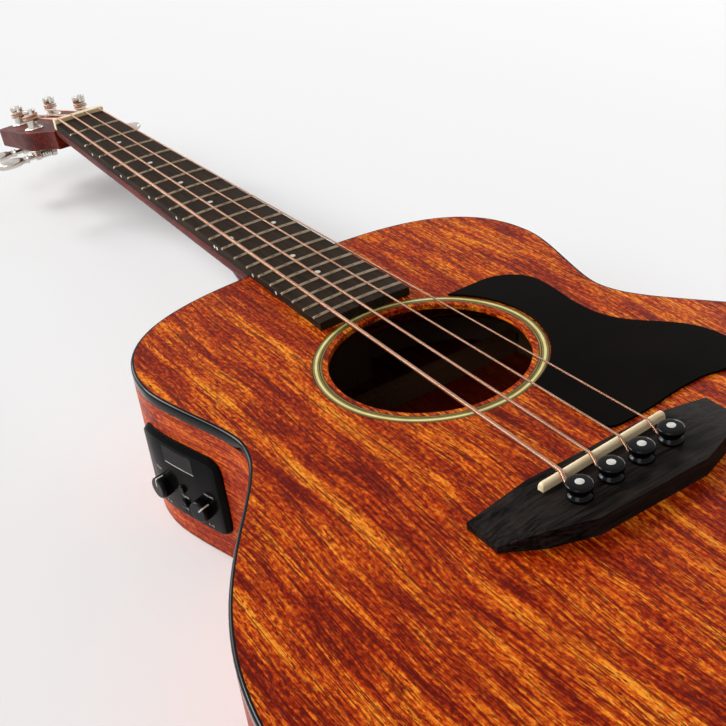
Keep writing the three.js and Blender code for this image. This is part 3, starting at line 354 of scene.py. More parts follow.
# Mahogany: length, width, detail and shift of a grain, where it fades in and is full, and its share
wood_sway = 16.0
wood_layers = [
    (230, 14, 3, (0, 0, 0), 0.34, 0.66, 0.24),
    (46, 8, 3, (9, 2, 4), 0.34, 0.66, 0.27),
    (44, 1.5, 4, (3, 7, 5), 0.36, 0.64, 0.24),
    (3.2, 1.6, 3, (1, 5, 8), 0.38, 0.62, 0.25),
]
wood_lines = (30, 0.8, 2, (2, 6, 3), 0.525, 0.6, 0.84)
wood_flecks = (4.6, 0.6, 2, (4, 4, 1), 0.56, 0.64, 0.96)

# Studio: a lamp's direction, the degrees it spans and its strength; the rest in metres and watts
far_lamps = [
    ("key", (-0.7, -0.48, 0.52), 24, 2.4),
    ("rim", (-0.93, -0.28, 0.3), 24, 0.6),
    ("front", (0.28, -0.69, 0.67), 34, 1.0),
]
back_lamp_place = (-1.0, 2.3, 0.9)
back_lamp_size = (1.6, 0.4)
back_lamp_power = 12
world_lit = 0.3
world_seen = 0.84
floor_half = 30000
floor_gap = 0.3
camera_place = (304.02, -274.89, 395.38)
camera_forward = (-0.74571, 0.41365, -0.52231)
camera_right = (0.53982, 0.8346, -0.10974)
camera_lens = 59.41


# Shapes are pairs of points and faces
def skin(rows, wrap):
    following = rows[1:] + rows[:1] if wrap else rows[1:]
    faces = []
    for here, there in zip(rows, following):
        for k in range(len(here)):
            n = (k + 1) % len(here)
            corners = list(dict.fromkeys((here[k], here[n], there[n], there[k])))
            if len(corners) > 2:
                faces.append(corners)
    return faces


def loft(loops, ring=False):
    """Skins closed loops in turn; a ring joins the last to the first, or else both ends are closed."""
    count = len(loops[0])
    rows = [list(range(i * count, (i + 1) * count)) for i in range(len(loops))]
    ends = [] if ring else [rows[0], rows[-1]]
    return [Vector(point) for loop in loops for point in loop], skin(rows, ring) + ends


def circle(steps):
    return [2 * pi * k / steps for k in range(steps)]


def polar(radius, angle, centre=(0, 0)):
    return centre[0] + radius * cos(angle), centre[1] + radius * sin(angle)


def quarter(centre, radius, start, steps):
    """A quarter turn of (across, up) points about a centre."""
    return [polar(radius, start + pi / 2 * i / steps, centre) for i in range(steps + 1)]


def turned(profile, steps, ring=False):
    """A profile of (radius, height) turned about Z."""
    points, rows = [], []
    for radius, height in profile:
        start = len(points)
        if radius == 0:
            rows.append([start] * steps)
            points.append(Vector((0, 0, height)))
        else:
            rows.append(list(range(start, start + steps)))
            points += [Vector((*polar(radius, angle), height)) for angle in circle(steps)]
    return points, skin(rows, ring)


def prism(outline, bottom, top):
    return loft([[(x, y, z) for x, y in outline] for z in (bottom, top)])


def block(x0, x1, y0, y1, z0, z1):
    return prism([(x0, y0), (x1, y0), (x1, y1), (x0, y1)], z0, z1)


def disc(radius, bottom, top, steps=24):
    return turned([(0, bottom), (radius, bottom), (radius, top), (0, top)], steps)


def at(x, y, z=0):
    return Matrix.Translation((x, y, z))


def about(axis, angle):
    return Matrix.Rotation(angle, 4, axis)


def framed(origin, x_axis, y_axis, z_axis):
    matrix = Matrix((x_axis, y_axis, z_axis)).transposed().to_4x4()
    matrix.translation = origin
    return matrix


def moved(shape, matrix):
    points, faces = shape
    return [matrix @ point for point in points], faces


def together(shapes):
    points, faces = [], []
    for more_points, more_faces in shapes:
        start = len(points)
        points += more_points
        faces += [[start + i for i in face] for face in more_faces]
    return points, faces


def tube(path, radius, sides):
    """A round tube along points; its section is carried along without twisting."""
    loops, across = [], Vector((0, 1, 0))
    for i, point in enumerate(path):
        tangent = (path[min(i + 1, len(path) - 1)] - path[max(i - 1, 0)]).normalized()
        across = (across - tangent * across.dot(tangent)).normalized()
        other = tangent.cross(across)
        loops.append([point + (across * cos(a) + other * sin(a)) * radius for a in circle(sides)])
    return loft(loops)


def bezier(a, b, c, d, steps):
    """Points of a cubic curve from a to d, without its last one."""
    points = []
    for i in range(steps):
        t = i / steps
        s = 1 - t
        points.append(a * s**3 + b * 3 * s * s * t + c * 3 * s * t * t + d * t**3)
    return points


def elbow(a, corner, b, steps):
    """A curve from a to b that rounds a corner, without its last point."""
    return bezier(a, a.lerp(corner, 2 / 3), b.lerp(corner, 2 / 3), b, steps)


def linked(name, data):
    piece = bpy.data.objects.new(name, data)
    bpy.context.scene.collection.objects.link(piece)
    return piece


def mesh_of(name, shape):
    points, faces = shape
    mesh = bpy.data.meshes.new(name)
    mesh.from_pydata([point * mm for point in points], [], faces)
    work = bmesh.new()
    work.from_mesh(mesh)
    bmesh.ops.recalc_face_normals(work, faces=work.faces)
    work.to_mesh(mesh)
    work.free()
    return mesh


def evaluated_mesh(piece):
    bpy.context.view_layer.update()
    return bpy.data.meshes.new_from_object(piece.evaluated_get(bpy.context.evaluated_depsgraph_get()))


def write_grain(mesh, grain):
    """Where each point lies in the straight wood or wire that the piece was bent from."""
    places = grain if isinstance(grain, list) else [grain(vertex.co / mm) for vertex in mesh.vertices]
    layer = mesh.attributes.new("grain", "FLOAT_VECTOR", "POINT")
    for item, place in zip(layer.data, places):
        item.vector = Vector(place) * mm


def cut_from(piece, shape):
    """Takes a shape out of a piece's mesh."""
    tool = linked("tool", mesh_of("tool", shape))
    step = piece.modifiers.new("cut", "BOOLEAN")
    step.operation = "DIFFERENCE"
    step.solver = "EXACT"
    step.object = tool
    made = evaluated_mesh(piece)
    piece.modifiers.remove(step)
    old, tool_mesh = piece.data, tool.data
    piece.data = made
    bpy.data.objects.remove(tool)
    bpy.data.meshes.remove(old)
    bpy.data.meshes.remove(tool_mesh)
    made.name = piece.name


def dress(piece, look, body):
    """Gives a piece its finish and lets it ride on its body."""
    piece.data.materials.clear()
    piece.data.materials.append(look.material)
    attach(piece, body)


def add(name, shape, look, node=None, body="instrument", cuts=(), bevel=0, edge=35, grain=None):
    """Makes a piece, which may stand for a CAD node. Edges sharper than edge, in degrees, stay crisp."""
    piece = linked(name, mesh_of(name, shape))
    for tool in cuts:
        cut_from(piece, tool)
    if grain:
        write_grain(piece.data, grain)
    piece.data.shade_smooth()
    piece.data.set_sharp_from_angle(angle=radians(edge))
    if bevel:
        rounding = piece.modifiers.new("rounding", "BEVEL")
        rounding.width = bevel * mm
        rounding.segments = 3
        rounding.limit_method = "ANGLE"
        rounding.angle_limit = radians(edge)
        rounding.harden_normals = True
    dress(piece, look, body)
    if node:
        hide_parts(node)


def keep(look, *nodes):
    """CAD nodes that stay get a better finish."""
    for node in nodes:
        materials = frame["nodes"][node].data.materials
        materials.clear()
        materials.append(look.material)


# Materials
def srgb(colour):
    """A screen colour of 0 to 255 as the linear one that shaders take."""
    shares = [value / 255 for value in colour]
    linear = [share / 12.92 if share <= 0.04045 else ((share + 0.055) / 1.055) ** 2.4 for share in shares]
    return *linear, 1


class Tree:
    """The nodes of a material or world, and short ways to add to them."""

    def __init__(self, owner):
        owner.use_nodes = True
        self.nodes = owner.node_tree.nodes
        self.links = owner.node_tree.links

    def node(self, kind, inputs, output=0, **settings):
        """A new node's output. Its inputs are sockets to link, or plain values."""
        made = self.nodes.new("ShaderNode" + kind)
        for key, value in settings.items():
            setattr(made, key, value)
        for key, value in inputs.items():
            if isinstance(value, bpy.types.NodeSocket):
                self.links.new(value, made.inputs[key])
            else:
                made.inputs[key].default_value = value
        return made.outputs[output]

    def maths(self, operation, a, b):
        return self.node("Math", {0: a, 1: b}, operation=operation)


class Look(Tree):
    """A material and its slot. Its place says where a point lies on the piece, in millimetres."""

    def __init__(self, name, slot="", attribute=None, **settings):
        self.slot = slot
        self.material = bpy.data.materials.new(name)
        super().__init__(self.material)
        self.shader = self.nodes["Principled BSDF"]
        for key, value in settings.items():
            self.shader.inputs[key.replace("_", " ")].default_value = value
        if attribute:
            source = self.node("Attribute", {}, "Vector", attribute_name=attribute)
        else:
            source = self.node("TexCoord", {}, "Object")
        self.place = self.node("Mapping", {0: source, "Scale": (1 / mm,) * 3})

    def noise(self, spread, detail=3, roughness=0.55, shift=(0, 0, 0), place=None):
        """Noise whose blotches are as long, wide and high as spread says, in millimetres."""
        scale = tuple(1 / length for length in spread)
        vector = self.node("Mapping", {0: place or self.place, "Location": shift, "Scale": scale})
        inputs = {"Vector": vector, "Scale": 1, "Detail": detail, "Roughness": roughness}
        return self.node("TexNoise", inputs)

    def ramp(self, factor, stops):
        """Colours at their places from 0 to 1."""
        output = self.node("ValToRGB", {0: factor})
        marks = output.node.color_ramp.elements
        for mark, (position, colour) in ((marks[0], stops[0]), (marks[1], stops[-1])):
            mark.position, mark.color = position, srgb(colour)
        for position, colour in stops[1:-1]:
            marks.new(position).color = srgb(colour)
        return output

    def fade(self, factor, low, high, start=0.0, end=1.0):
        """From start, where the factor is low or less, to end, where it is high or more."""
        return self.node("MapRange", {0: factor, 1: low, 2: high, 3: start, 4: end})

    def mix(self, factor, a, b):
        """Two colours or sockets, mixed."""
        a, b = [srgb(end) if isinstance(end, tuple) else end for end in (a, b)]
        return self.node("Mix", {0: factor, 6: a, 7: b}, 2, data_type="RGBA")

    def total(self, parts):
        """The sum of sockets, each times its share."""
        added = 0.0
        for socket, share in parts:
            added = self.node("Math", {0: socket, 1: share, 2: added}, operation="MULTIPLY_ADD")
        return added

    def finish(self, colour, roughness=None, bump=None):
        """Sets the colour, the roughness (factor, low, high) and the bump (height, distance, strength)."""
        self.links.new(colour, self.shader.inputs["Base Color"])
        if roughness:
            factor, low, high = roughness
            self.links.new(self.fade(factor, 0.0, 1.0, low, high), self.shader.inputs["Roughness"])
        if bump:
            height, distance, strength = bump
            inputs = {"Height": height, "Distance": distance * mm, "Strength": strength}
            self.links.new(self.node("Bump", inputs), self.shader.inputs["Normal"])
        return self


def mahogany(name, stops, pore, attribute=None, gloss=0.34, painted_shade_from=None, slot="mahogany"):
    """Ribboned wood: wide bands, fine streaks, mottling and short dark pores along the grain.
    From the given inside height up, its colour is darkened toward the pore colour: painted shade for the
    shadowed inside of the body."""
    look = Look(name, slot, attribute, Specular_IOR_Level=0.06)
    sway = look.maths("MULTIPLY", look.noise((150, 60, 60), 2), wood_sway)
    bent = look.node("VectorMath", {0: look.place, 1: look.node("CombineXYZ", {1: sway})}, operation="ADD")

    def grain(length, width, detail, shift, low, high, share):
        return look.fade(look.noise((length, width, width), detail, 0.6, shift, bent), low, high), share

    layers = [grain(*layer) for layer in wood_layers]
    darker = [look.maths("MULTIPLY", *grain(*marking)) for marking in (wood_lines, wood_flecks)]
    marks = look.maths("MAXIMUM", *darker)
    wood = look.mix(marks, look.ramp(look.total(layers), stops), pore)
    # Painted shade: above that height, the inner face of the back is mixed three-quarters toward the pore
    # colour.
    if painted_shade_from:
        height = look.node("SeparateXYZ", {0: look.place}, 2)
        wood = look.mix(look.maths("GREATER_THAN", height, painted_shade_from), wood, look.mix(0.75, wood, pore))
    streaks = layers[2][0]
    relief = look.maths("SUBTRACT", streaks, marks)
    return look.finish(wood, (streaks, gloss, gloss + 0.14), (relief, 0.08, 0.5))


def pale_wood(name, light, shade):
    look = Look(name)
    grain = look.noise((220, 1.6, 1.6), 4, 0.5)
    cloud = look.noise((60, 30, 30), 2)
    streaked = look.mix(look.fade(grain, 0.4, 0.62), light, shade)
    colour = look.mix(look.fade(cloud, 0.3, 0.8), streaked, light)
    return look.finish(colour, (grain, 0.55, 0.75), (grain, 0.06, 0.4))


def dark_wood(name, light, dark, spread, gloss, specular):
    look = Look(name, "ebony", Specular_IOR_Level=specular)
    grain = look.noise(spread, 5, 0.65)
    cloud = look.noise([length * 9 for length in spread], 3, 0.6, (5, 3, 1))
    pores = look.fade(look.noise([length * 0.35 for length in spread], 2, 0.5), 0.6, 0.7)
    base = look.mix(look.fade(grain, 0.38, 0.66), dark, light)
    clouded = look.mix(look.maths("MULTIPLY", look.fade(cloud, 0.45, 0.7), 0.5), base, light)
    colour = look.mix(look.maths("MULTIPLY", pores, 0.6), clouded, dark)
    relief = look.maths("SUBTRACT", grain, pores)
    return look.finish(colour, (grain, gloss, gloss + 0.16), (relief, 0.05, 0.45))


def plastic(name, colour, tint, gloss, spread=14, specular=0.5, slot="black_plastic"):
    """Moulded plastic: almost even, with faint clouds and fine moulding grain."""
    look = Look(name, slot, Specular_IOR_Level=specular)
    cloud = look.noise((spread,) * 3)
    moulding = look.noise((0.35,) * 3, 2)
    clouded = look.mix(look.fade(cloud, 0.35, 0.7), colour, tint)
    return look.finish(clouded, (cloud, gloss, gloss + 0.1), (moulding, 0.006, 0.35))


def metal(name, colour, tint, gloss, scratch=(6, 0.25, 0.25)):
    look = Look(name, "nickel", Metallic=1.0)
    scratches = look.noise(scratch, 3, 0.6)
    clouded = look.mix(look.fade(look.noise((9,) * 3), 0.35, 0.7), colour, tint)
    return look.finish(clouded, (scratches, gloss, gloss + 0.14), (scratches, 0.004, 0.3))


def bone(name, light, shade):
    look = Look(name, "bone", Subsurface_Weight=0.12, Subsurface_Scale=0.002)
    grain = look.noise((1.1, 9, 1.1), 4, 0.6)
    clouded = look.mix(look.fade(look.noise((6, 12, 6)), 0.4, 0.8), light, shade)
    colour = look.mix(look.fade(grain, 0.5, 0.8), clouded, shade)
    return look.finish(colour, (grain, 0.28, 0.42), (grain, 0.015, 0.4))


def wound_string(name, colour, tint, pitch):
    """Bronze wire wound round a core: the turns run across, along the string's own length."""
    look = Look(name, "bronze", "grain", Metallic=1.0)
    inputs = {"Vector": look.place, "Scale": 1 / pitch}
    turns = look.node("TexWave", inputs, "Fac", wave_type="BANDS", bands_direction="X", wave_profile="SIN")
    toned = look.mix(look.fade(look.noise((30, 3, 3)), 0.35, 0.7), colour, tint)
    return look.finish(toned, (turns, 0.3, 0.42), (turns, 0.05, 0.8))


def glass(name, colour, tint):
    look = Look(name, "smoked_glass", Specular_IOR_Level=0.1)
    cloud = look.noise((7,) * 3, 2)
    return look.finish(look.mix(look.fade(cloud, 0.3, 0.8), colour, tint), (cloud, 0.06, 0.12))


top_wood = mahogany(
    "top_mahogany",
    [(0.2, (94, 12, 0)), (0.36, (142, 34, 4)), (0.5, (182, 64, 12))]
    + [(0.63, (222, 106, 20)), (0.8, (244, 152, 44))],
    (88, 13, 2),
)
side_wood = mahogany(
    "side_mahogany",
    [(0.2, (108, 22, 8)), (0.38, (150, 42, 16)), (0.5, (184, 66, 26))]
    + [(0.62, (212, 92, 32)), (0.8, (232, 122, 42))],
    (104, 22, 8),
    attribute="grain",
    gloss=0.28,
)
# Back wood; its inner face gets painted shade, darker for the shadowed inside of the body.
back_wood = mahogany(
    "back_mahogany",
    [(0.2, (90, 18, 8)), (0.42, (134, 40, 16)), (0.6, (176, 70, 26)), (0.8, (206, 102, 36))],
    (74, 12, 4),
    painted_shade_from=back_top_z - seat,
)
neck_wood = mahogany(
    "neck_mahogany",
    [(0.2, (52, 9, 6)), (0.42, (80, 18, 12)), (0.6, (106, 29, 18)), (0.8, (136, 46, 26))],
    (48, 10, 6),
    slot="dark_mahogany",
)
# Spruce of the braces, blocks and linings, coloured dark brown as painted shade for the unlit inside of the
# body; bare spruce is paler.
spruce_in_painted_shade = pale_wood("brace_spruce_painted_shade", (96, 66, 38), (74, 48, 26))
board_wood = dark_wood("board_ebony", (54, 40, 27), (10, 7, 4), (22, 0.8, 0.8), 0.5, 0.06)
bridge_wood = dark_wood("bridge_ebony", (44, 38, 35), (3, 2, 2), (1.6, 20, 1.6), 0.4, 0.035)
black_gloss = plastic("black_gloss", (4, 4, 5), (8, 8, 9), 0.06, specular=0.12)
guard_black = plastic("guard_black", (9, 6, 4), (13, 9, 6), 0.2, 40, 0.012)
binding_black = plastic("binding_black", (3, 3, 4), (6, 6, 7), 0.05, 30, 0.11)
panel_black = plastic("panel_black", (6, 6, 6), (11, 10, 10), 0.18, 20, 0.03)
print_and_highlight_white = plastic("print_and_highlight_white", (196, 194, 188), (168, 166, 160), 0.4, 4)
dot_white = plastic("dot_pearl", (216, 214, 206), (188, 186, 178), 0.2, 1.5, slot="bone")
ring_looks = {
    "dark": plastic("ring_dark", (40, 26, 10), (58, 40, 14), 0.3, 9, 0.2, "cream_ring"),
    "olive": plastic("ring_olive", (138, 122, 56), (116, 98, 40), 0.3, 9, 0.2, "cream_ring"),
    "cream": plastic("ring_cream", (232, 222, 158), (214, 200, 128), 0.3, 9, 0.2, "cream_ring"),
}
bone_white = bone("bone", (246, 228, 188), (226, 196, 148))
nickel = metal("nickel", (214, 208, 200), (190, 182, 172), 0.14)
brass = metal("gear_brass", (206, 170, 108), (178, 140, 84), 0.26)
fret_metal = metal("fret_nickel", (160, 142, 120), (134, 118, 98), 0.16, (0.3, 8, 0.3))
steel = metal("steel", (150, 150, 152), (120, 120, 124), 0.3)
smoked = glass("smoked_glass", (6, 6, 6), (18, 17, 16))

# Body outline, read from the frame and made finer
body_centre_x = (joint_x + hole_x + tail_x) / 3


def hermite(a, b, leave, arrive, t):
    t2, t3 = t * t, t * t * t
    point = a * (2 * t3 - 3 * t2 + 1) + leave * (t3 - 2 * t2 + t)
    point += b * (3 * t2 - 2 * t3) + arrive * (t3 - t2)
    slope = (a - b) * (6 * t2 - 6 * t) + leave * (3 * t2 - 4 * t + 1) + arrive * (3 * t2 - 2 * t)
    return point, slope


def outline_slopes(loop, lengths):
    """The curve's direction at each point: along X where the body is widest or narrowest."""
    slopes = []
    for i, here in enumerate(loop):
        before, after = lengths[i - 1], lengths[i]
        arrive = (here - loop[i - 1]) / before
        leave = (loop[(i + 1) % len(loop)] - here) / after
        curved = (arrive * after + leave * before) / (before + after)
        slopes.append(Vector((1, 0)) if arrive.y * leave.y < 0 else curved)
    return slopes


def half_outline():
    """The back's treble half from neck to tail: points, inward normals and lengths along it."""
    vertices = frame["nodes"]["back_plate"].data.vertices
    found = {(round(v.co.x / mm, 2), abs(round(v.co.y / mm, 2))) for v in vertices}
    half = sorted(found, key=lambda p: -atan2(p[1], p[0] - body_centre_x))
    loop = [Vector(p) for p in half] + [Vector((x, -y)) for x, y in reversed(half[1:-1])]
    lengths = [(there - here).length for here, there in zip(loop, loop[1:] + loop[:1])]
    slopes = outline_slopes(loop, lengths)
    samples, along = [], 0
    for i in range(len(half) - 1):
        span = lengths[i]
        for k in range(outline_refinement):
            t = k / outline_refinement
            point, slope = hermite(loop[i], loop[i + 1], slopes[i] * span, slopes[i + 1] * span, t)
            samples.append((point, Vector((slope.y, -slope.x)).normalized(), along + span * t))
        along += span
    samples.append((loop[len(half) - 1], Vector((-1, 0)), along))
    samples[0] = (samples[0][0], Vector((1, 0)), 0)
    return samples


treble_half = half_outline()


def outline_point(sample, inset, side, z):
    point, inward, _ = sample
    place = point + inward * inset
    return Vector((place.x, place.y * side, z))


def outline_loop(inset, z):
    treble = [outline_point(sample, inset, 1, z) for sample in treble_half]
    bass = [outline_point(sample, inset, -1, z) for sample in treble_half[1:-1]]
    return treble + bass[::-1]


def hole_loop(radius, z):
    """A circle round the soundhole, its points in line with the outline's."""
    loop = []
    for point in outline_loop(0, z):
        away = Vector((point.x - hole_x, point.y)).normalized()
        loop.append(Vector((hole_x + away.x * radius, away.y * radius, z)))
    return loop


def top_plate():
    inset = binding_width + seat
    channel_z = top_z - rosette_depth - seat
    outer, inner = rosette_outer_radius + seat, rosette_inner_radius - seat
    centre = (hole_radius + hole_edge_round, top_z - hole_edge_round)
    hole = [(outer, top_z), (outer, channel_z), (inner, channel_z), (inner, top_z)]
    hole += quarter(centre, hole_edge_round, pi / 2, corner_steps) + [(hole_radius, top_under_z)]
    loops = [outline_loop(inset, top_z)] + [hole_loop(radius, z) for radius, z in hole]
    return loft(loops + [outline_loop(inset, top_under_z)], ring=True)


def back_plate():
    edge = quarter((back_edge_round, back_edge_round), back_edge_round, pi, corner_steps)[::-1]
    return loft([outline_loop(inset, z) for inset, z in edge + [(0, back_top_z)]])


def binding():
    foot_z = top_z - binding_height
    foot = quarter((binding_foot_round, foot_z + binding_foot_round), binding_foot_round, pi, 2)
    crown = quarter((binding_round, top_z - binding_round), binding_round, pi / 2, 6)
    section = [(binding_width, foot_z)] + foot[::-1] + crown[::-1] + [(binding_width, top_z)]
    return loft([outline_loop(inset, z) for inset, z in section], ring=True)


def rib(side):
    """One side of the body, with a ledge for the binding."""
    ledge, ledge_z = binding_width + seat, top_z - binding_height - seat
    low, high = back_top_z + seat, top_under_z - seat
    section = [(0, low), (side_thickness, low), (side_thickness, high)]
    section += [(ledge, high), (ledge, ledge_z), (0, ledge_z)]
    loops = [[outline_point(sample, inset, side, z) for inset, z in section] for sample in treble_half]
    for point in loops[0] + loops[-1]:
        point.y = side * seat
    return loft(loops)


def turn_of(point):
    return atan2(abs(point.y), point.x - body_centre_x)


def along_side(point):
    """Where a point of a side lies in the straight strip that the side was bent from."""
    turn = turn_of(point)
    for before, after in zip(treble_half, treble_half[1:]):
        if turn_of(after[0]) <= turn:
            span = turn_of(before[0]) - turn_of(after[0])
            share = min(1, max(0, (turn_of(before[0]) - turn) / span))
            return before[2] + (after[2] - before[2]) * share, point.z, 0
    return treble_half[-1][2], point.z, 0


def preamp_opening():
    """The hole in the bass side, square to the box behind the panel."""
    low, high = lowest("preamp_box"), highest("preamp_box")
    corners = [vertex.co.xy / mm for vertex in frame["nodes"]["preamp_box"].data.vertices]
    front = min(corners, key=lambda place: place.y)
    rear = max(corners, key=lambda place: place.x)
    along = (rear - front).normalized()
    inward = Vector((-along.y, along.x)) * side_thickness * 3
    front = front - along * opening_gap
    rear = rear + along * opening_gap
    outline = [front - inward, rear - inward, rear + inward, front + inward]
    return prism(outline, low.z - opening_gap, high.z + opening_gap)


pin_places = {name: middle("bridge_pin_" + name) for name, _, _ in string_table}


def string_drop(name, diameter):
    """Where a string goes down through the bridge, in front of its pin."""
    pin = pin_places[name]
    return Vector((pin.x - pin_shank_radius - string_gap - diameter / 2, pin.y, 0))


def bridge_bores():
    tools = []
    low, high = bridge_plate_under_z, saddle_top_z
    for name, _, diameter in string_table:
        place, drop = pin_places[name], string_drop(name, diameter)
        tools.append(moved(disc(pin_shank_radius + seat, low, high, 32), at(place.x, place.y)))
        half = diameter / 2 + seat
        tools.append(block(drop.x - half, place.x, place.y - half, place.y + half, low, high))
    return tools


add("top_plate_face", top_plate(), top_wood, "top_plate", cuts=bridge_bores())
add("back_plate_face", back_plate(), back_wood, "back_plate")
add("binding_strip", binding(), binding_black, "top_binding")
add("treble_rib", rib(1), side_wood, "side_treble", grain=along_side)
add("bass_rib", rib(-1), side_wood, "side_bass", cuts=[preamp_opening()], grain=along_side)
keep(spruce_in_painted_shade, "neck_block", "tail_block", "x_brace", "transverse_brace", "bridge_plate")
keep(spruce_in_painted_shade, "back_brace_1", "back_brace_2", "back_brace_3", "top_lining_bass", "top_lining_treble")
keep(spruce_in_painted_shade, "back_lining_bass", "back_lining_treble")
keep(steel, "truss_rod", "battery", "saddle_pickup")
keep(panel_black, "preamp_box")


# Rosette and pickguard
def rosette():
    outer = rosette_outer_radius
    for name, width, tone in rosette_rings:
        inner, low = outer - width + seat / 2, top_z - rosette_depth
        shape = turned([(inner, low), (outer, low), (outer, top_z), (inner, top_z)], ring_steps, ring=True)
        add("rosette_" + name, moved(shape, at(hole_x, 0)), ring_looks[tone], "rosette")
        outer -= width


def wave(here, there, along_x):
    """A curve that leaves here and arrives there along X or along Y, without its last point."""
    half_way = (here + there) / 2
    leave = Vector((half_way.x, here.y)) if along_x else Vector((here.x, half_way.y))
    arrive = Vector((half_way.x, there.y)) if along_x else Vector((there.x, half_way.y))
    return bezier(here, leave, arrive, there, guard_steps)


def guard_outline():
    radius = rosette_outer_radius + guard_gap
    start = Vector(polar(radius, guard_start_angle, (hole_x, 0)))
    horn = Vector((start.x, guard_horn_y))
    shoulder = Vector((hole_x - guard_shoulder_before_hole, guard_shoulder_y))
    dip = Vector((hole_x + guard_dip_past_hole, guard_dip_y))
    crest = Vector((bridge_front_x - guard_crest_before_bridge, guard_crest_y))
    tail = Vector((bridge_front_x - guard_tail_before_bridge, guard_tail_y))
    hollow_start = Vector((tail.x, guard_hollow_start_y))
    hollow = Vector((tail.x - guard_hollow, guard_hollow_y))
    foot = Vector((tail.x + guard_belly, guard_foot_y))
    rise = guard_shoulder_y - guard_horn_y
    horn_pull = Vector((start.x, guard_horn_y + rise * guard_horn_share))
    points = [start] + bezier(horn, horn_pull, shoulder - Vector((rise / 2, 0)), shoulder, guard_steps)
    points += wave(shoulder, dip, True) + wave(dip, crest, True)
    points += elbow(crest, Vector((tail.x, crest.y)), tail, guard_steps) + [tail]
    points += wave(hollow_start, hollow, False) + wave(hollow, Vector((foot.x, guard_belly_y)), False)
    beside = foot - Vector((guard_corner, 0))
    points += elbow(foot + Vector((0, guard_corner)), foot, beside, guard_steps) + [beside]
    arc_steps = guard_steps * 2
    sweep = guard_start_angle - guard_end_angle
    angles = [guard_end_angle + sweep * i / arc_steps for i in range(arc_steps)]
    return points + [Vector(polar(radius, angle, (hole_x, 0))) for angle in angles]


rosette()
guard_sheet = prism(guard_outline(), top_z + seat, guard_top_z)
add("pickguard_sheet", guard_sheet, guard_black, "pickguard", bevel=guard_bevel)


# Bridge, saddle and pins
def bridge_blank():
    """The bridge with its two thin tips, which slope down from creases."""
    low = top_z + seat
    thin_z = low + bridge_tip_thickness
    treble = [
        (bridge_front_x, bridge_front_crease_y, bridge_top_z),
        (bridge_front_x, bridge_half_length, thin_z),
        (bridge_front_x + bridge_tip_width, bridge_half_length, thin_z),
        (bridge_front_x + bridge_rear_crease_width, bridge_rear_crease_y, bridge_top_z),
        (bridge_front_x + bridge_belly_width, bridge_belly_y, bridge_top_z),
    ]
    loop = treble + [(x, -y, z) for x, y, z in reversed(treble)]
    count = len(loop)
    points = [Vector(p) for p in loop] + [Vector((x, y, low)) for x, y, _ in loop]
    faces = [[i, (i + 1) % count, count + (i + 1) % count, count + i] for i in range(count)]
    faces += [[0, 3, 4, 5, 6, 9], [0, 1, 2, 3], [6, 7, 8, 9], list(range(count, 2 * count))]
    return points, faces


saddle_place = at(saddle_x, 0) @ about("Z", atan(saddle_slant))


def saddle_slot():
    half = saddle_thickness / 2 + seat
    reach = saddle_length / 2 + seat
    low = bridge_top_z - saddle_slot_depth
    return moved(block(-half, half, -reach, reach, low, saddle_top_z), saddle_place)


def saddle():
    """The bone bar: a round top that comes down in a small curve at each end."""
    half = saddle_thickness / 2
    ends = quarter((0, 0), saddle_end_round, 0, 6)
    straight = saddle_length / 2 - saddle_end_round
    stations = [(straight + across, saddle_end_round - up) for across, up in ends]
    stations += [(-y, drop) for y, drop in reversed(stations)]
    loops = []
    for y, drop in stations:
        centre = (0, saddle_top_z - half - drop)
        round_top = quarter(centre, half, 0, 6) + quarter(centre, half, pi / 2, 6)[1:]
        loops.append([(x, y, z) for x, z in [(half, saddle_foot_z)] + round_top + [(-half, saddle_foot_z)]])
    return moved(loft(loops), saddle_place)


def pin():
    base = bridge_top_z + seat
    profile = [(0, bridge_plate_under_z), (pin_shank_radius, bridge_plate_under_z), (pin_shank_radius, base)]
    profile += [(radius, base + pin_height * share) for radius, share in pin_profile]
    return turned(profile + [(0, base + pin_height)], pin_steps)


def pin_dot():
    profile = [(0, -6), (pin_dot_radius, -6), (pin_dot_radius, 1), (pin_dot_radius * 0.8, 2), (0, 2.5)]
    base = bridge_top_z + pin_height
    return turned([(radius, base + pin_dot_rise * rise) for radius, rise in profile], pin_steps)


bridge_cuts = [saddle_slot()] + bridge_bores()
add("bridge_block", bridge_blank(), bridge_wood, "bridge", cuts=bridge_cuts, bevel=bridge_bevel, edge=25)
add("saddle_bar", saddle(), bone_white, "saddle", bevel=saddle_bevel, edge=50)
for string_name, pin_place in pin_places.items():
    there = at(pin_place.x, pin_place.y)
    add("peg_" + string_name, moved(pin(), there), black_gloss, "bridge_pin_" + string_name, edge=50)
    add("peg_dot_" + string_name, moved(pin_dot(), there), dot_white, edge=60)


# Headstock frame and the tuners' places, from the joints
def joint(name):
    found = next(item for item in frame["joints"] if item["name"] == name)
    return Vector(found["pos_m"]) / mm, Vector(found["axis"]).normalized()


_, head_up = joint("post_E_turn")
head_along = Vector((head_up.z, 0, -head_up.x))


def head_frame_at(origin):
    return framed(origin, head_along, Vector((0, 1, 0)), head_up)


head_frame = head_frame_at(Vector((nut_rear_x, 0, top_z - head_drop)))


# Strings
def rounded(a, b, c, size, steps):
    """Points of a rounded corner at b, between a and c."""
    start = b + (a - b).normalized() * size
    end = b + (c - b).normalized() * size
    shares = [i / steps for i in range(steps + 1)]
    return [start.lerp(b, t).lerp(b.lerp(end, t), t) for t in shares]


def winding(name, step, radius, entry):
    """The turns round the post, in the headstock's frame."""
    side = copysign(1, step)
    centre = head_frame.inverted() @ joint("post_%s_turn" % name)[0]
    reach = post_radius + string_gap + radius
    away = Vector((entry.x - centre.x, entry.y - centre.y))
    start = atan2(away.y, away.x) - side * acos(reach / away.length)
    points = []
    for i in range(winding_loops * loop_steps + 1):
        turn = i / loop_steps
        height = winding_height + radius + turn * (radius * 2 + winding_gap)
        points.append(Vector((*polar(reach, start - side * turn * 2 * pi, centre), height)))
    return points + [points[-1] + (points[-1] - points[-2]).normalized() * radius * 2]


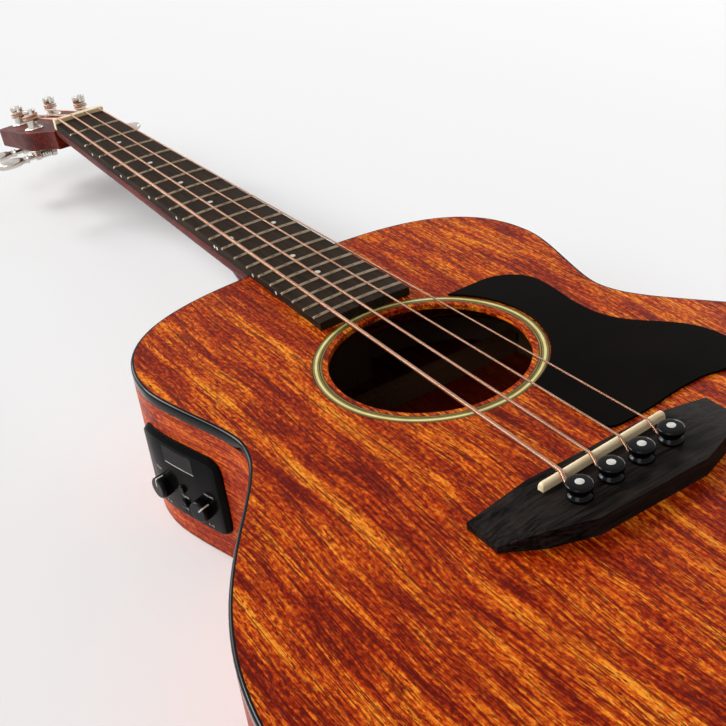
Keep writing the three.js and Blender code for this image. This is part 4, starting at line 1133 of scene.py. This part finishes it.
def string_path(name, step, radius):
    """From the ball under the bridge, over the saddle and the nut, to the turns on the post."""
    drop = string_drop(name, radius * 2)
    ball = Vector((drop.x, drop.y, bridge_plate_under_z - string_gap - ball_height / 2))
    ramp = Vector((drop.x, drop.y, bridge_top_z - string_ramp_depth))
    crest_y = step * saddle_spacing
    crest = Vector((saddle_x - saddle_slant * drop.y, crest_y, saddle_top_z + radius))
    slope = atan2(crest.z - ramp.z, ramp.x - crest.x)
    bend = saddle_thickness / 2 + string_gap + radius
    centre = (saddle_top_z - saddle_thickness / 2, saddle_x - saddle_slant * crest_y)
    over = []
    for i in range(string_arc_steps, -1, -1):
        z, x = polar(bend, slope * i / string_arc_steps, centre)
        over.append(Vector((x, crest_y, z)))
    nut_z = fret_top_z + nut_slot_over_frets + string_gap + radius
    nut_point = Vector((-scale_length - string_gap, step * nut_spacing, nut_z))
    coil = [head_frame @ point for point in winding(name, step, radius, head_frame.inverted() @ nut_point)]
    path = [ball] + rounded(ball, ramp, over[0], radius * 2, 6) + over
    return path + rounded(over[-1], nut_point, coil[0], radius, 4) + coil


def string_piece(name, step, diameter):
    radius = diameter / 2
    path = string_path(name, step, radius)
    grain, along = [], 0
    for i, point in enumerate(path):
        along += (point - path[max(i - 1, 0)]).length
        grain += [(along, radius, 0)] * string_sides
    ball = moved(disc(ball_radius, -ball_height / 2, ball_height / 2), at(*path[0]))
    grain += [(0, 0, 0)] * len(ball[0])
    shape = together([tube(path, radius, string_sides), ball])
    look = wound_string("bronze_" + name, (190, 148, 122), (162, 116, 92), diameter * wrap_pitch_share)
    add("wire_" + name, shape, look, "string_" + name, grain=grain)


for string_row in string_table:
    string_piece(*string_row)


# Fingerboard, frets and dots
board_top_z = fret_top_z - fret_height


def fret_x(number):
    return -scale_length * 2 ** (-number / 12)


def dot_x(number):
    return (fret_x(number) + fret_x(number - 1)) / 2


def board_half_width(x):
    along = (x + scale_length) / (scale_length / 2)
    return (nut_width + (twelfth_fret_width - nut_width) * along) / 2


def board_height(y):
    return board_top_z - y * y / (2 * board_radius)


def board():
    loops = []
    for x in (-scale_length + seat, board_end_x):
        half = board_half_width(x)
        across = [-half + 2 * half * i / board_steps for i in range(board_steps + 1)]
        loop = [(x, half, top_z + seat), (x, -half, top_z + seat)]
        loops.append(loop + [(x, y, board_height(y)) for y in across])
    return loft(loops)


def fret(number):
    """A crowned wire pressed into the board, its ends filed to a slope."""
    x = fret_x(number)
    half = board_half_width(x)
    loops = []
    for i in range(board_steps + 1):
        share = -1 + 2 * i / board_steps
        loop = []
        for k in range(fret_steps + 1):
            angle = pi * k / fret_steps
            rise = fret_height * sin(angle)
            y = share * (half - rise * fret_end_slope)
            loop.append((x - fret_width / 2 * cos(angle), y, board_height(y) + rise))
        y = share * half
        root_z = board_height(y) - fret_height * fret_root_share
        loops.append(loop + [(x + fret_width / 4, y, root_z), (x - fret_width / 4, y, root_z)])
    return loft(loops)


def board_dots():
    places = [(number, 0) for number in dot_frets]
    places += [(octave_fret, octave_dot_y), (octave_fret, -octave_dot_y)]
    dot = disc(dot_radius, -fret_height, dot_rise, 32)
    return together([moved(dot, at(dot_x(number), y, board_height(y))) for number, y in places])


def side_dots():
    places = [dot_x(number) for number in dot_frets]
    places += [dot_x(octave_fret) - side_dot_spacing / 2, dot_x(octave_fret) + side_dot_spacing / 2]
    dot = moved(disc(side_dot_radius, -fret_height, dot_rise), about("X", pi / 2))
    return together([moved(dot, at(x, -board_half_width(x), (top_z + board_top_z) / 2)) for x in places])


add("board", board(), board_wood, "fingerboard", bevel=board_bevel, edge=50)
frets = together([fret(number) for number in range(1, fret_count + 1)])
add("fret_wires", frets, fret_metal, "fingerboard", edge=50)
add("board_dots", board_dots(), dot_white, "fingerboard")
add("side_dots", side_dots(), dot_white, "fingerboard")
keep(bone_white, "nut")


# Neck: the shaft, the heel and the headstock
def shaft_section(x):
    half = board_half_width(x)
    along = (x - nut_rear_x) / (joint_x - nut_rear_x)
    depth = neck_depth_at_nut + (neck_depth_at_heel - neck_depth_at_nut) * along
    section = [(x, half, top_z)]
    for i in range(neck_steps + 1):
        angle = pi * i / neck_steps
        fall = neck_lip + (depth - neck_lip) * sin(angle) ** neck_fullness
        section.append((x, half * cos(angle), top_z - fall))
    return section + [(x, -half, top_z)]


def neck_shaft():
    span = joint_x - seat - nut_rear_x
    return loft([shaft_section(nut_rear_x + span * i / neck_stations) for i in range(neck_stations + 1)])


def heel_section(z, shrink):
    rise = max(0, z - heel_bottom_z) / (heel_top_z - heel_bottom_z)
    widening = heel_half_width_top - heel_half_width_bottom
    lengthening = heel_length_top - heel_length_bottom
    half = heel_half_width_bottom - shrink + widening * rise**heel_width_power
    length = heel_length_bottom - shrink + lengthening * rise**heel_length_power
    angles = [pi * k / neck_steps for k in range(neck_steps + 1)]
    return [(joint_x - seat - length * sin(angle), half * cos(angle), z) for angle in angles]


def heel():
    start = heel_bottom_z + heel_cap_round
    cap = quarter((0, 0), heel_cap_round, pi, 4)[::-1]
    loops = [heel_section(start + up, heel_cap_round + across) for across, up in cap]
    levels = range(1, heel_levels + 1)
    return loft(loops + [heel_section(start + (heel_top_z - start) * i / heel_levels, 0) for i in levels])


def head_outline():
    shoulder_x = -head_ear_station * head_shoulder_share
    nut_edge = Vector((0, head_half_width_nut))
    ear_edge = Vector((-head_ear_station, head_half_width_ears))
    corner = Vector((head_crown - head_length, head_half_width_end))
    tip = Vector((-head_length, 0))
    leave, arrive = Vector((shoulder_x, nut_edge.y)), Vector((shoulder_x, ear_edge.y))
    half = bezier(nut_edge, leave, arrive, ear_edge, head_steps) + [ear_edge]
    half += elbow(corner, Vector((-head_length, head_half_width_end / 2)), tip, head_steps)
    return half + [tip] + [Vector((p.x, -p.y)) for p in reversed(half)]


def bushing_bores():
    bore = disc(bushing_radius + seat, -head_thickness * 2, head_thickness, metal_steps)
    return [moved(bore, head_frame_at(joint("post_%s_turn" % name)[0])) for name, _, _ in string_table]


headstock = moved(prism(head_outline(), -head_thickness, 0), head_frame)
add("neck_shaft", neck_shaft(), neck_wood, "neck", edge=50)
add("neck_heel", heel(), neck_wood, "neck", edge=50)
add("headstock", headstock, neck_wood, "neck", cuts=bushing_bores(), bevel=head_bevel)


# Tuners, each in the frame of its own joint
plate_top = -head_thickness - seat
plate_bottom = plate_top - plate_thickness
plate_near_x = -gear_radius - plate_margin
plate_reach = gear_radius + plate_margin / 2
worm_offset = gear_radius + worm_radius + string_gap
button_start = head_half_width_ears - far_post_offset + button_edge_gap


def screw(name, place, size, body="instrument"):
    """A domed head with a cross in it, its flat underside at height 0 of its place."""
    radius, rise, bevel = size
    profile = [(0, -1), (1, -1), (1, 0.15), (0.85, 0.6), (0.5, 0.92), (0, 1)]
    head = turned([(radius * across, rise * up) for across, up in profile], 24)
    half, reach, low, high = radius * 0.14, radius * 0.62, rise * 0.3, rise * 3
    slots = [block(-reach, reach, -half, half, low, high), block(-half, half, -reach, reach, low, high)]
    add(name, moved(head, place), nickel, None, body, [moved(slot, place) for slot in slots], bevel)


def gear(low):
    """A wheel whose teeth lean with the worm's thread."""
    loops = []
    for share in (0, 0.25, 0.5, 0.75, 1):
        turn = 2 * pi / gear_teeth * tooth_lean * (share - 0.5)
        loop = []
        for angle in circle(gear_teeth * tooth_steps):
            flank = tanh(cos(angle * gear_teeth) * tooth_steepness) / tanh(tooth_steepness)
            radius = gear_radius - tooth_depth * (1 - flank) / 2
            loop.append((*polar(radius, angle + turn), low + gear_thickness * share))
        loops.append(loop)
    return loft(loops)


def post(diameter, foot):
    neck_top = winding_height + diameter + winding_loops * (diameter + winding_gap) + string_gap
    profile = [
        (0, foot), (post_radius, foot), (post_radius, neck_top),
        (post_head_radius - 0.15, neck_top + post_rim), (post_head_radius, neck_top + post_rim * 1.3),
        (post_head_radius, post_height - post_rim * 1.2),
        (post_head_radius - post_rim * 0.35, post_height - post_rim * 0.35),
        (post_head_radius - post_rim * 1.2, post_height), (0, post_height),
    ]
    return turned(profile, metal_steps)


def fork():
    """The slot across the post's head."""
    half, reach = fork_width / 2, post_head_radius * 2
    return block(-reach, reach, -half, half, post_height - fork_depth, post_height * 2)


def bushing():
    inner = post_radius + seat
    profile = [
        (inner, -bushing_depth), (bushing_radius, -bushing_depth), (bushing_radius, seat),
        (flange_radius - 0.2, seat), (flange_radius, seat * 6), (flange_radius, flange_height * 0.3),
        (flange_radius - flange_height * 0.3, flange_height * 0.75),
        (flange_radius - flange_height * 0.75, flange_height), (inner + bushing_bevel, flange_height),
        (inner, flange_height - bushing_bevel),
    ]
    return turned(profile, 48, ring=True)


def tuner_plate():
    y = plate_reach - plate_corner
    near_x, far_x = plate_near_x + plate_corner, worm_offset + ear_half_width - plate_corner
    outline = []
    for i, centre in enumerate([(far_x, y), (near_x, y), (near_x, -y), (far_x, -y)]):
        outline += quarter(centre, plate_corner, pi / 2 * i, 6)
    return prism(outline, plate_bottom, plate_top)


def ear(side, worm_z):
    """One of the two cheeks that carry the worm's shaft."""
    inner = worm_length / 2 + string_gap
    outline = [(worm_offset + across, plate_bottom - seat) for across in (-ear_half_width, ear_half_width)]
    angles = [-pi * i / ear_steps for i in range(ear_steps + 1)]
    outline += [polar(ear_half_width, angle, (worm_offset, worm_z)) for angle in angles]
    return loft([[(x, side * y, z) for x, z in outline] for y in (inner, inner + ear_thickness)])


def worm():
    """The thread, which runs out at both ends; Z runs along its shaft."""
    half = worm_length / 2
    loops = []
    for level in range(worm_levels + 1):
        z = -half + worm_length * level / worm_levels
        end_fade = min(1, (half - abs(z)) / (thread_depth * 1.5))
        loop = []
        for angle in circle(metal_steps):
            phase = z / worm_length * worm_turns * 2 * pi - angle
            radius = worm_radius - thread_depth * (0.5 - 0.5 * cos(phase)) - (1 - end_fade) * thread_depth
            loop.append((*polar(radius, angle), z))
        loops.append(loop)
    return loft(loops)


def button_shaft():
    """The shaft from beyond the far ear to the collar at the button."""
    end = -worm_length / 2 - ear_thickness - string_gap * 2
    collar = button_start - button_collar_length
    profile = [
        (0, end - string_gap), (tuner_shaft_radius - 0.3, end - string_gap), (tuner_shaft_radius, end),
        (tuner_shaft_radius, collar), (button_collar_radius - 0.25, collar),
        (button_collar_radius, collar + 0.25), (button_collar_radius, collar + 0.9),
        (button_collar_radius - 0.45, collar + 1.3), (button_collar_tip_radius, button_start),
        (button_collar_tip_radius, button_start + 2), (0, button_start + 2),
    ]
    return turned(profile, 32)


def squared(value):
    return copysign(abs(value) ** button_squareness, value)


def button_paddle():
    """The finger piece: a flat oval with full edges."""
    loops = []
    for level in range(button_levels + 1):
        angle = pi * level / button_levels
        z = button_start + button_length / 2 * (1 - cos(angle))
        width = max(button_radius * sin(angle) ** 0.8, 0.02)
        thick = max(button_radius * button_flat_share * sin(angle) ** 0.6, 0.02)
        loop = []
        for turn in circle(metal_steps):
            across, up = squared(cos(turn)), squared(sin(turn))
            loop.append((width * across, thick * up * (1 - button_waist * across * across), z))
        loops.append(loop)
    return loft(loops)


def tuner(name, diameter):
    place, up = joint("post_%s_turn" % name)
    button_place, out = joint("button_%s_turn" % name)
    worm_z = (button_place - place).dot(up)
    gear_low, gear_high = worm_z - gear_thickness / 2, worm_z + gear_thickness / 2
    here = head_frame_at(place)
    node, body = "tuner_post_" + name, "post_" + name
    shaft = moved(post(diameter, gear_high - seat), here)
    add("post_shaft_" + name, shaft, nickel, node, body, [moved(fork(), here)], post_bevel)
    add("gear_" + name, moved(gear(gear_low), here), brass, node, body, bevel=gear_bevel)
    screw("gear_screw_" + name, here @ at(0, 0, gear_low) @ about("X", pi), gear_screw, body)
    add("bushing_" + name, moved(bushing(), here), nickel, "tuner_bushing_" + name, edge=50)
    node = "tuner_plate_" + name
    hole = moved(disc(post_radius + seat, plate_bottom * 2, 0, metal_steps), here)
    add("plate_" + name, moved(tuner_plate(), here), nickel, node, cuts=[hole], bevel=plate_bevel)
    shaft_line = here @ at(worm_offset, 0, worm_z) @ about("X", pi / 2)
    bore = moved(disc(tuner_shaft_radius + seat, -button_length, button_length), shaft_line)
    for side, letter in ((1, "a"), (-1, "b")):
        cheek = moved(ear(side, worm_z), here)
        add("ear_%s_%s" % (name, letter), cheek, nickel, node, cuts=[bore], bevel=plate_bevel)
    inset = plate_screw[0] + plate_corner * 0.4
    for number, side in ((1, 1), (2, -1)):
        spot = at(plate_near_x + inset, side * (plate_reach - inset), plate_bottom)
        screw("plate_screw_%s_%d" % (name, number), here @ spot @ about("X", pi), plate_screw)
    node, body = "tuner_button_" + name, "button_" + name
    here = framed(button_place, head_along, out.cross(head_along), out)
    add("worm_" + name, moved(together([worm(), button_shaft()]), here), nickel, node, body, edge=50)
    add("key_" + name, moved(button_paddle(), here), nickel, node, body, edge=60)


for string_name, _, string_diameter in string_table:
    tuner(string_name, string_diameter)


# Places on the bass side
def side_sample(x):
    for before, after in zip(treble_half, treble_half[1:]):
        if after[0].x > x:
            share = (x - before[0].x) / (after[0].x - before[0].x)
            return before[0].lerp(after[0], share), before[1].lerp(after[1], share).normalized()
    raise ValueError("no such place on the side")


def side_point(x, rise, z):
    point, inward = side_sample(x)
    place = point - inward * rise
    return Vector((place.x, -place.y, z))


def side_frame(x, z, rise=0):
    """A frame on the bass side: X along the side to the tail, Y up, Z outward."""
    _, inward = side_sample(x)
    outward = Vector((-inward.x, inward.y, 0))
    up = Vector((0, 0, 1))
    return framed(side_point(x, rise, z), up.cross(outward), up, outward)


# Preamp panel and its controls
def panel_section(from_end):
    """The panel's (rise, z) section, this far from its nearer end."""
    inside = max(0, panel_corner - from_end)
    shrink = panel_corner - sqrt(max(0, panel_corner**2 - inside**2))
    bottom, top = panel_bottom_z + shrink, panel_top_z - shrink
    full = panel_edge_rise + (panel_thickness - panel_edge_rise) * min(1, from_end / panel_end_slope)
    return [
        (seat, bottom), (panel_edge_rise * 0.8, bottom), (full - 0.25, bottom + panel_edge_rise * 0.85),
        (full, bottom + panel_edge_rise * 1.4), (full, top - panel_slope - 0.5),
        (full - 0.12, top - panel_slope + 0.1), (panel_edge_rise, top - 0.3),
        (panel_edge_rise * 0.85, top - 0.05), (seat, top),
    ]


def panel():
    """A curved plate that follows the side; its edges slope and its corners are round."""
    loops = []
    for i in range(panel_stations + 1):
        even = i / panel_stations
        share = (1 - cos(pi * even)) / 4 + even / 2
        x = panel_front_x + (panel_rear_x - panel_front_x) * share
        section = panel_section(min(x - panel_front_x, panel_rear_x - x))
        loops.append([side_point(x, rise, z) for rise, z in section])
    return loft(loops)


def window_block(gap, top):
    """The display's window, or the pocket for it with a gap all round."""
    x, y = window_width / 2 + gap, window_height / 2 + gap
    shape = block(-x, x, -y, y, panel_thickness - window_thickness - gap, top)
    return moved(shape, side_frame(window_x, window_z))


knob_base = panel_thickness + seat * 2
knob_top = knob_base + knob_height


def knob():
    levels = [
        (knob_radius, knob_base, 1), (knob_radius, knob_base + knob_height * 0.55, 1),
        (knob_radius - 0.1, knob_top - knob_edge, 1),
        (knob_radius - 0.3, knob_top - knob_edge * 0.5, 0.4), (knob_radius - knob_edge, knob_top, 0),
        (knob_radius - knob_edge * 1.8, knob_top, 0),
    ]
    loops = []
    for radius, z, ridge in levels:
        loop = []
        for angle in circle(knob_ridges * knob_ridge_steps):
            depth = knob_ridge_depth * ridge * (0.5 - 0.5 * cos(angle * knob_ridges))
            loop.append((*polar(radius - depth, angle), z))
        loops.append(loop)
    return together([loft(loops), disc(knob_shaft_radius, knob_base - knob_shaft_length, knob_base)])


def knob_pointer(angle):
    """A white line inlaid in the knob's top and down its side."""
    outline = [
        (knob_radius * 0.2, knob_top - 0.3), (knob_radius * 0.2, knob_top + inlay_rise),
        (knob_radius - knob_edge, knob_top + inlay_rise),
        (knob_radius - 0.26, knob_top - knob_edge * 0.5),
        (knob_radius + inlay_rise, knob_top - knob_edge), (knob_radius + inlay_rise, knob_base + 0.4),
        (knob_radius - 0.5, knob_base + 0.4), (knob_radius - 0.5, knob_top - knob_edge * 1.4),
    ]
    bar = loft([[(x, y, z) for x, z in outline] for y in (-pointer_half_width, pointer_half_width)])
    return moved(bar, about("Z", radians(angle)))


def switch_cap():
    high, low = panel_thickness + switch_rise, panel_thickness - switch_depth
    profile = [
        (0, low), (switch_radius, low), (switch_radius, high - switch_edge),
        (switch_radius - 0.15, high - 0.15), (switch_radius - switch_edge, high),
        (switch_radius * 0.5, high - 0.12), (0, high - 0.18),
    ]
    return turned(profile, switch_steps)


# A painted highlight: a thin white strip on the panel along an edge of the display window.
def painted_highlight_line(x0, x1, drop0, drop1):
    low, high = top_z - drop1, top_z - drop0
    low_rise, high_rise = panel_thickness - label_depth, panel_thickness + label_rise
    corners = [(low_rise, low), (high_rise, low), (high_rise, high), (low_rise, high)]
    places = [x0 + (x1 - x0) * i / line_steps for i in range(line_steps + 1)]
    return loft([[side_point(x, rise, z) for rise, z in corners] for x in places])


def label(name, words, x, drop):
    """Generic words printed beside a control, centred on a place of the panel."""
    text = bpy.data.curves.new(name, "FONT")
    text.body = words
    text.align_x = "CENTER"
    text.align_y = "CENTER"
    text.size = label_size * mm
    text.extrude = label_rise / 2 * mm
    carrier = linked(name + "_text", text)
    mesh = evaluated_mesh(carrier)
    bpy.data.objects.remove(carrier)
    bpy.data.curves.remove(text)
    spot = side_frame(x, top_z - drop, panel_thickness + label_rise / 2)
    spot.translation *= mm
    mesh.transform(spot)
    dress(linked(name, mesh), print_and_highlight_white, "instrument")


switch_frames = {node: side_frame(switch_x, middle(node).z) for node, _ in switches}
switch_bore = disc(switch_radius + seat * 3, -1, panel_thickness * 2, switch_steps)
panel_cuts = [window_block(seat, panel_thickness * 2)]
panel_cuts += [moved(switch_bore, spot) for spot in switch_frames.values()]
add("preamp_face", panel(), panel_black, "preamp_panel", cuts=panel_cuts, bevel=0.2, edge=40)
add("display_glass", window_block(0, panel_thickness), smoked, "display_window", bevel=0.25)
for node_name, body_name, pointer_turn in knobs:
    turn_place, _ = joint(body_name + "_turn")
    spot = side_frame(turn_place.x, knob_z)
    add(node_name + "_cap", moved(knob(), spot), black_gloss, node_name, body_name, edge=40)
    add(node_name + "_pointer", moved(knob_pointer(pointer_turn), spot), print_and_highlight_white, None, body_name)
for node_name, body_name in switches:
    cap = moved(switch_cap(), switch_frames[node_name])
    add(node_name + "_cap", cap, black_gloss, node_name, body_name, edge=50)
# Painted highlights along the display window's lower and left edges
for line_name, *ends in lines:
    add(line_name, painted_highlight_line(*ends), print_and_highlight_white)
for label_row in labels:
    label(*label_row)


# Jack and strap button
def jack():
    rim = (jack_flange_radius - jack_neck_radius) / 2
    profile = [
        (0, -jack_depth), (jack_barrel_radius, -jack_depth), (jack_barrel_radius, seat),
        (jack_flange_radius - 0.3, seat), (jack_flange_radius, 0.3), (jack_flange_radius, rim),
        (jack_neck_radius + 0.4, rim * 2), (jack_neck_radius, rim * 2.6),
        (jack_neck_radius, jack_length - rim * 2.6), (jack_neck_radius + 0.4, jack_length - rim * 2),
        (jack_flange_radius, jack_length - rim), (jack_flange_radius, jack_length - 0.4),
        (jack_flange_radius - 0.4, jack_length), (jack_bore_radius + 0.5, jack_length),
        (jack_bore_radius, jack_length - 0.5), (jack_bore_radius, jack_wall - jack_depth),
        (0, jack_wall - jack_depth),
    ]
    return moved(turned(profile, 64), at(tail_x, 0, jack_z) @ about("Y", pi / 2))


def strap_button():
    rim, top = strap_height / 5, strap_height
    profile = [
        (0, 0), (strap_foot_radius, 0), (strap_foot_radius - 0.3, 0.5),
        (strap_waist_radius + 0.3, rim * 0.9), (strap_waist_radius, rim * 1.3),
        (strap_waist_radius, top - rim * 2.2), (strap_waist_radius + 0.5, top - rim * 1.7),
        (strap_radius - 0.3, top - rim * 1.05), (strap_radius, top - rim * 0.75),
        (strap_radius - 0.15, top - rim * 0.3), (strap_radius - 0.8, top - 0.05),
        (strap_dish_radius, top - 0.3), (0, top - 0.3),
    ]
    return turned(profile, 48)


add("jack_barrel", jack(), nickel, "end_pin_jack", edge=50)
strap_middle = middle("strap_button")
strap_seat = at(strap_middle.x, highest("strap_button").y - strap_height, strap_middle.z)
strap_place = strap_seat @ about("X", -pi / 2)
add("strap_knob", moved(strap_button(), strap_place), nickel, "strap_button", edge=50)
screw("strap_screw", strap_place @ at(0, 0, strap_height - strap_screw_drop), strap_screw)


# Floor, light and camera
def floor():
    ends = ((-1, -1), (1, -1), (1, 1), (-1, 1))
    points = [Vector((x * floor_half, y * floor_half, -floor_gap)) for x, y in ends]
    piece = linked("floor", mesh_of("floor", (points, [[0, 1, 2, 3]])))
    look = Look("floor_paper", Roughness=0.9)
    look.finish(look.mix(look.noise((900,) * 3, 2), (240, 240, 240), (236, 236, 236)))
    piece.data.materials.append(look.material)


def studio_world():
    """A pale backdrop that the camera, gloss and glass see, and a dimmer light from all round."""
    world = bpy.data.worlds.new("studio")
    tree = Tree(world)
    tree.nodes.remove(tree.nodes["Background"])
    white = (1, 1, 1, 1)
    lit = tree.node("Background", {"Color": white, "Strength": world_lit})
    seen = tree.node("Background", {"Color": white, "Strength": world_seen})
    rays = tree.node("LightPath", {}).node.outputs
    direct = tree.maths("MAXIMUM", rays["Is Camera Ray"], rays["Is Glossy Ray"])
    shown = tree.maths("MAXIMUM", direct, rays["Is Transmission Ray"])
    choice = tree.node("MixShader", {0: shown, 1: lit, 2: seen})
    tree.links.new(choice, tree.nodes["World Output"].inputs["Surface"])
    bpy.context.scene.world = world


def lamp(name, kind, direction, **settings):
    light = bpy.data.lights.new(name, kind)
    for key, value in settings.items():
        setattr(light, key, value)
    carrier = linked(name, light)
    carrier.rotation_euler = direction.to_track_quat("-Z", "Y").to_euler()
    return carrier


def lamps():
    """Large soft boxes so far off that they light the floor evenly, and one behind the body."""
    for name, source, spread, strength in far_lamps:
        lamp(name, "SUN", -Vector(source), angle=radians(spread), energy=strength)
    aim = Vector((hole_x, 0, top_z)) * mm - Vector(back_lamp_place)
    width, height = back_lamp_size
    box = lamp("back", "AREA", aim, shape="RECTANGLE", size=width, size_y=height, energy=back_lamp_power)
    box.location = back_lamp_place


def camera():
    eye = bpy.data.cameras.new("camera")
    eye.sensor_width = 36
    eye.lens = camera_lens
    eye.clip_start = 0.01
    eye.clip_end = 100
    carrier = linked("camera", eye)
    forward, right = Vector(camera_forward).normalized(), Vector(camera_right).normalized()
    carrier.matrix_world = framed(Vector(camera_place) * mm, right, right.cross(forward), -forward)
    bpy.context.scene.camera = carrier


floor()
studio_world()
lamps()
camera()
bpy.context.scene.view_settings.view_transform = "Standard"
